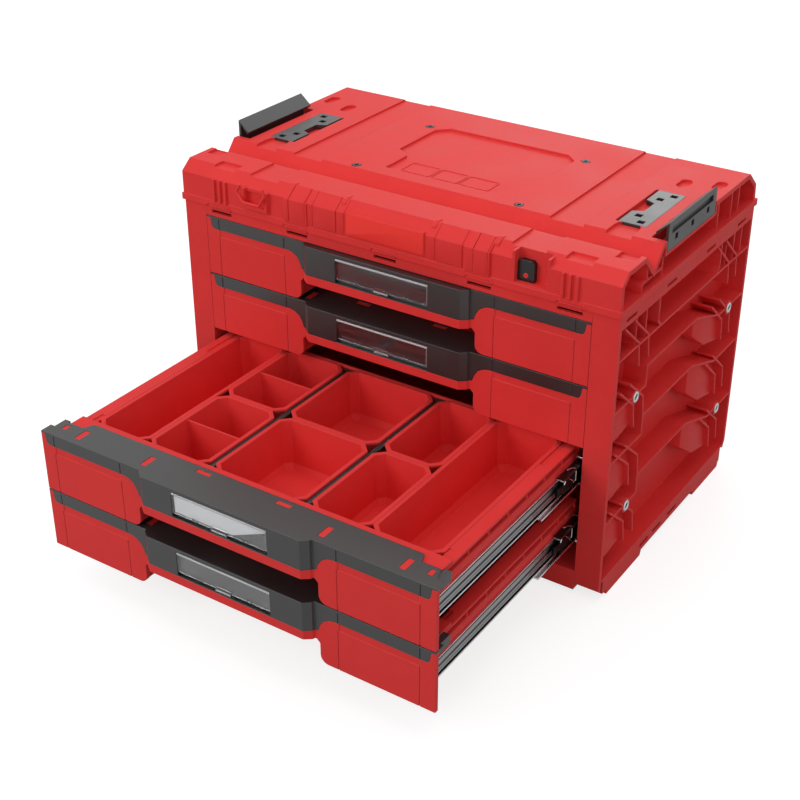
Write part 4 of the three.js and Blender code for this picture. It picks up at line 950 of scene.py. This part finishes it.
def label_pieces(number):
    """Rod, pips, pull tab and rim of a label cover, with a painted highlight on the rod and the tab."""
    low, high = corner_of(f"drawer_{number}_label_cover")
    body = f"drawer_{number}_label_flap"
    x0, x1 = low.x + COVER_INSET, high.x - COVER_INSET
    centre = (0, low.y + ROD_RADIUS, high.z - ROD_RADIUS)
    profile = [(0, x0), (ROD_RADIUS, x0), (ROD_RADIUS, x1), (0, x1)]
    rod = lathe_mesh(f"label_{number}_rod", profile, centre, "x", 16)
    add_piece(rod, glint_plastic(), body)
    bars = {f"pip_{pip}": ((x - 1, low.y + 0.4, low.z + 3.4), (x + 1, low.y + 1.6, low.z + 5.2), 0.2)
            for pip, x in enumerate(PIP_PLACES, 1)}
    bars["tab"] = ((-PULL_TAB_HALF, low.y + 0.1, low.z + 0.6), (PULL_TAB_HALF, low.y + 0.8, low.z + 2.8), 0.3)
    bars["rim"] = ((x1 - 1.4, low.y + 0.5, low.z + 3.2), (x1, low.y + 1.6, high.z - 2), 0.25)
    for part, (start, end, radius) in bars.items():
        material = glint_plastic() if part == "tab" else rim_plastic()
        add_piece(bar_mesh(f"label_{number}_{part}", start, end, radius), material, body)


def painted_reflection_card():
    """Pale card with a slanting edge behind the cover of the filled drawer: a painted reflection of the
    studio on the cover.
    """
    low, high = corner_of(f"drawer_{FILLED_DRAWER}_label_cover")
    cut = low.x + REFLECTION_EDGE_SHARE * (high.x - low.x)
    outline = [(low.x + 2, low.z + 4), (cut, low.z + 4), (high.x - 2, high.z - 5), (low.x + 2, high.z - 4)]
    mesh = prism_mesh("painted_reflection_card", "y", outline, low.y + 3.2, low.y + 3.8, 0.1)
    add_piece(mesh, reflection_card_white(), f"drawer_{FILLED_DRAWER}")


def flange_ribs(number):
    """Short ribs that divide the groove under each flange of a tub."""
    low, high = corner_of(f"drawer_{number}_tub")
    near, reach = high.x - 13.2, high.x - 0.5
    bottom, top = high.z - 15.2, high.z - 8.6
    section = [(near, bottom), (reach, bottom), (reach - 0.4, top), (near, top)]
    for side, sign in SIDES.items():
        shape = bmesh.new()
        for rib in range(FLANGE_RIBS):
            place = low.y + (rib + 0.9) * (high.y - low.y) / FLANGE_RIBS
            add_prism(shape, section, sign, place, place + 1.6)
        add_red(to_mesh(f"flange_ribs_{number}_{side}", shape), f"drawer_{number}")


class TOOLBOX_OT_drawers(bpy.types.Operator):
    """Finish the tubs, fronts and trims of the drawers and their label covers"""
    bl_idname = "toolbox.drawers"
    bl_label = "Drawers"

    def execute(self, context):
        for number in DRAWERS:
            dress(f"drawer_{number}_tub", red_plastic())
            dress(f"drawer_{number}_front", red_plastic())
            dress(f"drawer_{number}_trim", charcoal_plastic())
            dress(f"drawer_{number}_label_cover", clear_plastic())
            label_pieces(number)
            flange_ribs(number)
        painted_reflection_card()
        return {"FINISHED"}


class TOOLBOX_OT_bins(bpy.types.Operator):
    """Finish the loose bins and the strips between them"""
    bl_idname = "toolbox.bins"
    bl_label = "Bins"

    def execute(self, context):
        prefix = f"drawer_{FILLED_DRAWER}_"
        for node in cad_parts:
            if node.startswith(prefix) and "_bin_" in node:
                dress(node, red_plastic())
            if node.startswith(prefix) and "_strip_" in node:
                dress(node, charcoal_plastic())
        return {"FINISHED"}


# Slides

def drawer_member_mesh(node, side):
    """Drawer's rail with its rolled bands, from its lower lip up, and the painted shade of each face."""
    low, high = corner_of(node)
    near, far = sorted((abs(low.x), abs(high.x)))
    web = near + SLIDE_WALL
    band = web + SLIDE_WALL
    lower_lip, upper_lip = far - 3.0, near + 3.2
    section = [
        (near, 0.0, BRIGHT), (lower_lip, 0.0, BRIGHT), (lower_lip, 1.1, BRIGHT),
        (lower_lip - 0.8, 1.1, SHADED), (web, 1.1, SHADED), (web, 2.1, SHADED), (band, 3.0, HALF_SHADED),
        (band, 5.8, SHADED), (band - 0.8, 6.2, SHADED), (band, 6.6, HALF_SHADED), (band, 9.4, SHADED),
        (web, 10.2, SHADED), (web, 12.0, SHADED), (band, 12.9, HALF_SHADED), (band, 18.6, SHADED),
        (web, 19.4, SHADED), (web, 21.2, BRIGHT), (upper_lip, 21.2, BRIGHT), (upper_lip, 22.0, BRIGHT),
        (near, 22.0, BRIGHT)]
    outline = [(across, low.z + up) for across, up, tone in section]
    tones = [tone for across, up, tone in section]
    shape = bmesh.new()
    add_prism(shape, outline, side, low.y, high.y, tones)
    return to_mesh(f"{node}_rolled", shape)


def rail_section(web, edge, turn, reach):
    """Half of a channel: a lip at one edge of the web, with the web's own edge strip."""
    inner = web - SLIDE_WALL
    return [(web, edge), (web - reach, edge), (web - reach, edge + turn * 1.4), (inner, edge + turn * 1.9),
            (inner, edge + turn * RAIL_HEIGHT), (web, edge + turn * RAIL_HEIGHT)]


def middle_member_mesh(node, side):
    """Middle rail with a long punched window in its web."""
    low, high = corner_of(node)
    near, far = sorted((abs(low.x), abs(high.x)))
    web = far - RAIL_INSET
    bottom, top = low.z + RAIL_INSET, high.z - SLIDE_DROP
    shape = bmesh.new()
    # The top lip is painted in shade, the bottom lip bright
    for edge, turn, set_back, tone in ((top, -1, TOP_SET_BACK, SHADED), (bottom, 1, MIDDLE_SET_BACK, BRIGHT)):
        section = rail_section(web, edge, turn, web - near)
        add_prism(shape, section, side, low.y + set_back, high.y, [tone] * len(section))
    inner = web - SLIDE_WALL
    web_low, web_high = low.z + RAIL_HEIGHT, top - RAIL_HEIGHT
    window_end = low.y + (high.y - low.y) * WINDOW_SHARE
    strip = [(inner, web_low), (web, web_low), (web, web_high), (inner, web_high)]
    add_prism(shape, strip, side, window_end, high.y)
    return to_mesh(f"{node}_rolled", shape)


def rolled_member(mesh, node, body, *shade_copies):
    """Puts a rolled rail in the place of a plain one."""
    piece = add_piece(mesh, slide_steel(), body)
    for finish in shade_copies:
        # The further materials are painted shade copies of the steel
        mesh.materials.append(finish)
    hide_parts(node)


def slide_fittings(number, side, sign):
    """Ball cage with its nose and lever, wire clip and spring of a slide."""
    low, high = corner_of(f"drawer_{number}_middle_member_{side}")
    inner = min(abs(corner.x) for corner in corner_of(f"drawer_{number}_drawer_member_{side}"))
    body = f"drawer_{number}_middle_slide"
    prefix = f"slide_{number}_{side}"
    x0, x1 = span(sign, inner + CAGE_NEAR, inner + CAGE_FAR)
    for part, (start, end, drop, rise) in CAGE_PARTS.items():
        cage = bar_mesh(f"{prefix}_{part}", (x0, low.y + start, low.z + rise),
                        (x1, low.y + end, high.z - drop), 0.6)
        add_piece(cage, shade_black_plastic(), body)
    across = inner + WIRE_REACH
    bend = low.y + WIRE_PLACE
    top = high.z - SLIDE_DROP - 0.6
    clip = [(across - 4, bend - 14, top + 4.2), (across - 2, bend - 7, top + 3.6),
            (across, bend - 1.5, top + 1), (across, bend, top - 2),
            (across, bend, low.z + 12), (across - 1, bend + 1, low.z + 9)]
    curl = [(across, bend + along, top + up) for along, up in SPRING_CURL]
    for part, points, radius in (("wire", clip, 0.7), ("spring", curl, 0.6)):
        path = [(sign * x, y, z) for x, y, z in points]
        add_piece(wire_mesh(f"{prefix}_{part}", path, radius), slide_steel(), body)


class TOOLBOX_OT_slides(bpy.types.Operator):
    """Finish the telescopic slides with rolled raceways, cages and wire clips"""
    bl_idname = "toolbox.slides"
    bl_label = "Slides"

    def execute(self, context):
        for number in DRAWERS:
            for side, sign in SIDES.items():
                dress(f"drawer_{number}_cabinet_member_{side}", slide_steel())
                node = f"drawer_{number}_middle_member_{side}"
                body = f"drawer_{number}_middle_slide"
                rolled_member(middle_member_mesh(node, sign), node, body, slide_painted_shade())
                node = f"drawer_{number}_drawer_member_{side}"
                body = f"drawer_{number}"
                rolled_member(drawer_member_mesh(node, sign), node, body, slide_painted_shade(), slide_painted_half_shade())
                slide_fittings(number, side, sign)
        return {"FINISHED"}


# Studio

def look_matrix(stage):
    """Place and turn of the camera."""
    turn = stage.camera_turn
    tilt = stage.camera_tilt
    roll = stage.camera_roll
    ahead = Vector((-math.sin(turn) * math.cos(tilt), math.cos(turn) * math.cos(tilt), -math.sin(tilt)))
    right = Vector((math.cos(turn), math.sin(turn), 0.0))
    up = right.cross(ahead)
    side = right * math.cos(roll) + up * math.sin(roll)
    top = up * math.cos(roll) - right * math.sin(roll)
    matrix = Matrix((side, top, -ahead)).transposed().to_4x4()
    matrix.translation = stage.camera_place
    return matrix


def add_camera(scene, stage):
    """Camera that looks at the toolbox from above its right front corner."""
    camera = bpy.data.cameras.new("camera")
    camera.lens = stage.lens
    camera.sensor_width = SENSOR_WIDTH
    camera.shift_x, camera.shift_y = stage.shift
    viewer = bpy.data.objects.new("camera", camera)
    scene.collection.objects.link(viewer)
    viewer.matrix_world = look_matrix(stage)
    scene.camera = viewer


def add_lamp(scene, name, place, aim, size, power):
    """Round soft lamp turned towards its aim."""
    lamp = bpy.data.lights.new(name, "AREA")
    lamp.shape = "DISK"
    lamp.size = size
    lamp.energy = power
    holder = bpy.data.objects.new(name, lamp)
    scene.collection.objects.link(holder)
    holder.location = place
    holder.rotation_euler = (Vector(aim) - Vector(place)).to_track_quat("-Z", "Y").to_euler()


def seen_share(tree, mirror):
    """1 for rays from the camera and through glass, and a share of it for reflections."""
    path = add_node(tree, "ShaderNodeLightPath")
    seen = add_node(tree, "ShaderNodeMath", operation="MULTIPLY_ADD")
    join(tree, path.outputs["Is Glossy Ray"], seen.inputs[0])
    seen.inputs[1].default_value = mirror
    join(tree, path.outputs["Is Camera Ray"], seen.inputs[2])
    also = add_node(tree, "ShaderNodeMath", operation="MAXIMUM")
    join(tree, seen.outputs[0], also.inputs[0])
    join(tree, path.outputs["Is Transmission Ray"], also.inputs[1])
    return also.outputs[0]


def floor_material(stage):
    """Pale floor that keeps the shadow and glows white where it is seen."""
    material, tree, shader = new_material("studio_floor")
    shader.inputs["Base Color"].default_value = (stage.floor_tone, stage.floor_tone, stage.floor_tone, 1.0)
    shader.inputs["Roughness"].default_value = 0.9
    light = add_node(tree, "ShaderNodeEmission")
    glow = scaled(tree, seen_share(tree, stage.floor_mirror), 0.0, stage.floor_glow)
    join(tree, glow, light.inputs["Strength"])
    both = add_node(tree, "ShaderNodeAddShader")
    join(tree, shader.outputs[0], both.inputs[0])
    join(tree, light.outputs[0], both.inputs[1])
    join(tree, both.outputs[0], tree.nodes["Material Output"].inputs["Surface"])
    return material


def add_floor(scene, stage):
    """Wide flat floor under the toolbox."""
    reach = FLOOR_REACH
    mesh = bpy.data.meshes.new("studio_floor")
    mesh.from_pydata([(-reach, -reach, 0), (reach, -reach, 0), (reach, reach, 0), (-reach, reach, 0)], [],
                     [(0, 1, 2, 3)])
    floor = bpy.data.objects.new("studio_floor", mesh)
    scene.collection.objects.link(floor)
    mesh.materials.append(floor_material(stage))


def add_world(scene, stage):
    """Even light from all round, which is white where it is seen."""
    world = bpy.data.worlds.new("studio_world")
    scene.world = world
    world.use_nodes = True
    tree = world.node_tree
    back = tree.nodes["Background"]
    back.inputs["Color"].default_value = (1.0, 1.0, 1.0, 1.0)
    join(tree, scaled(tree, seen_share(tree, 1.0), stage.sky, 1.0), back.inputs["Strength"])


class TOOLBOX_OT_stage(bpy.types.Operator):
    """Set up the floor, the soft lamps and the camera"""
    bl_idname = "toolbox.stage"
    bl_label = "Studio"

    def execute(self, context):
        stage = settings().stage
        add_camera(context.scene, stage)
        add_floor(context.scene, stage)
        for name, values in LAMPS.items():
            add_lamp(context.scene, name, *values)
        add_world(context.scene, stage)
        context.scene.view_settings.view_transform = "Standard"
        return {"FINISHED"}


class TOOLBOX_PT_panel(bpy.types.Panel):
    bl_label = "Drawer toolbox"
    bl_idname = "TOOLBOX_PT_panel"
    bl_space_type = "VIEW_3D"
    bl_region_type = "UI"
    bl_category = "Toolbox"

    def draw(self, context):
        layout = self.layout
        for operator in OPERATORS:
            layout.operator(operator.bl_idname)
        values = settings()
        for group in (values.plastic, values.metal, values.label, values.stage):
            box = layout.box()
            for name in group.bl_rna.properties.keys():
                if name not in {"rna_type", "name"}:
                    box.prop(group, name)


OPERATORS = (
    TOOLBOX_OT_stage,
    TOOLBOX_OT_cabinet,
    TOOLBOX_OT_cover,
    TOOLBOX_OT_drawers,
    TOOLBOX_OT_bins,
    TOOLBOX_OT_slides,
)
CLASSES = (PlasticSettings, MetalSettings, LabelSettings, StageSettings, ToolboxSettings, *OPERATORS,
           TOOLBOX_PT_panel)


def register():
    for item in CLASSES:
        bpy.utils.register_class(item)
    bpy.types.Scene.toolbox = bpy.props.PointerProperty(type=ToolboxSettings)


def unregister():
    del bpy.types.Scene.toolbox
    for item in reversed(CLASSES):
        bpy.utils.unregister_class(item)


def corners(box):
    return [[round(value, 6) for value in corner] for corner in box]


def main():
    register()
    for operator in OPERATORS:
        group, name = operator.bl_idname.split(".")
        getattr(getattr(bpy.ops, group), name)()


if __name__ == "__main__":
    main()
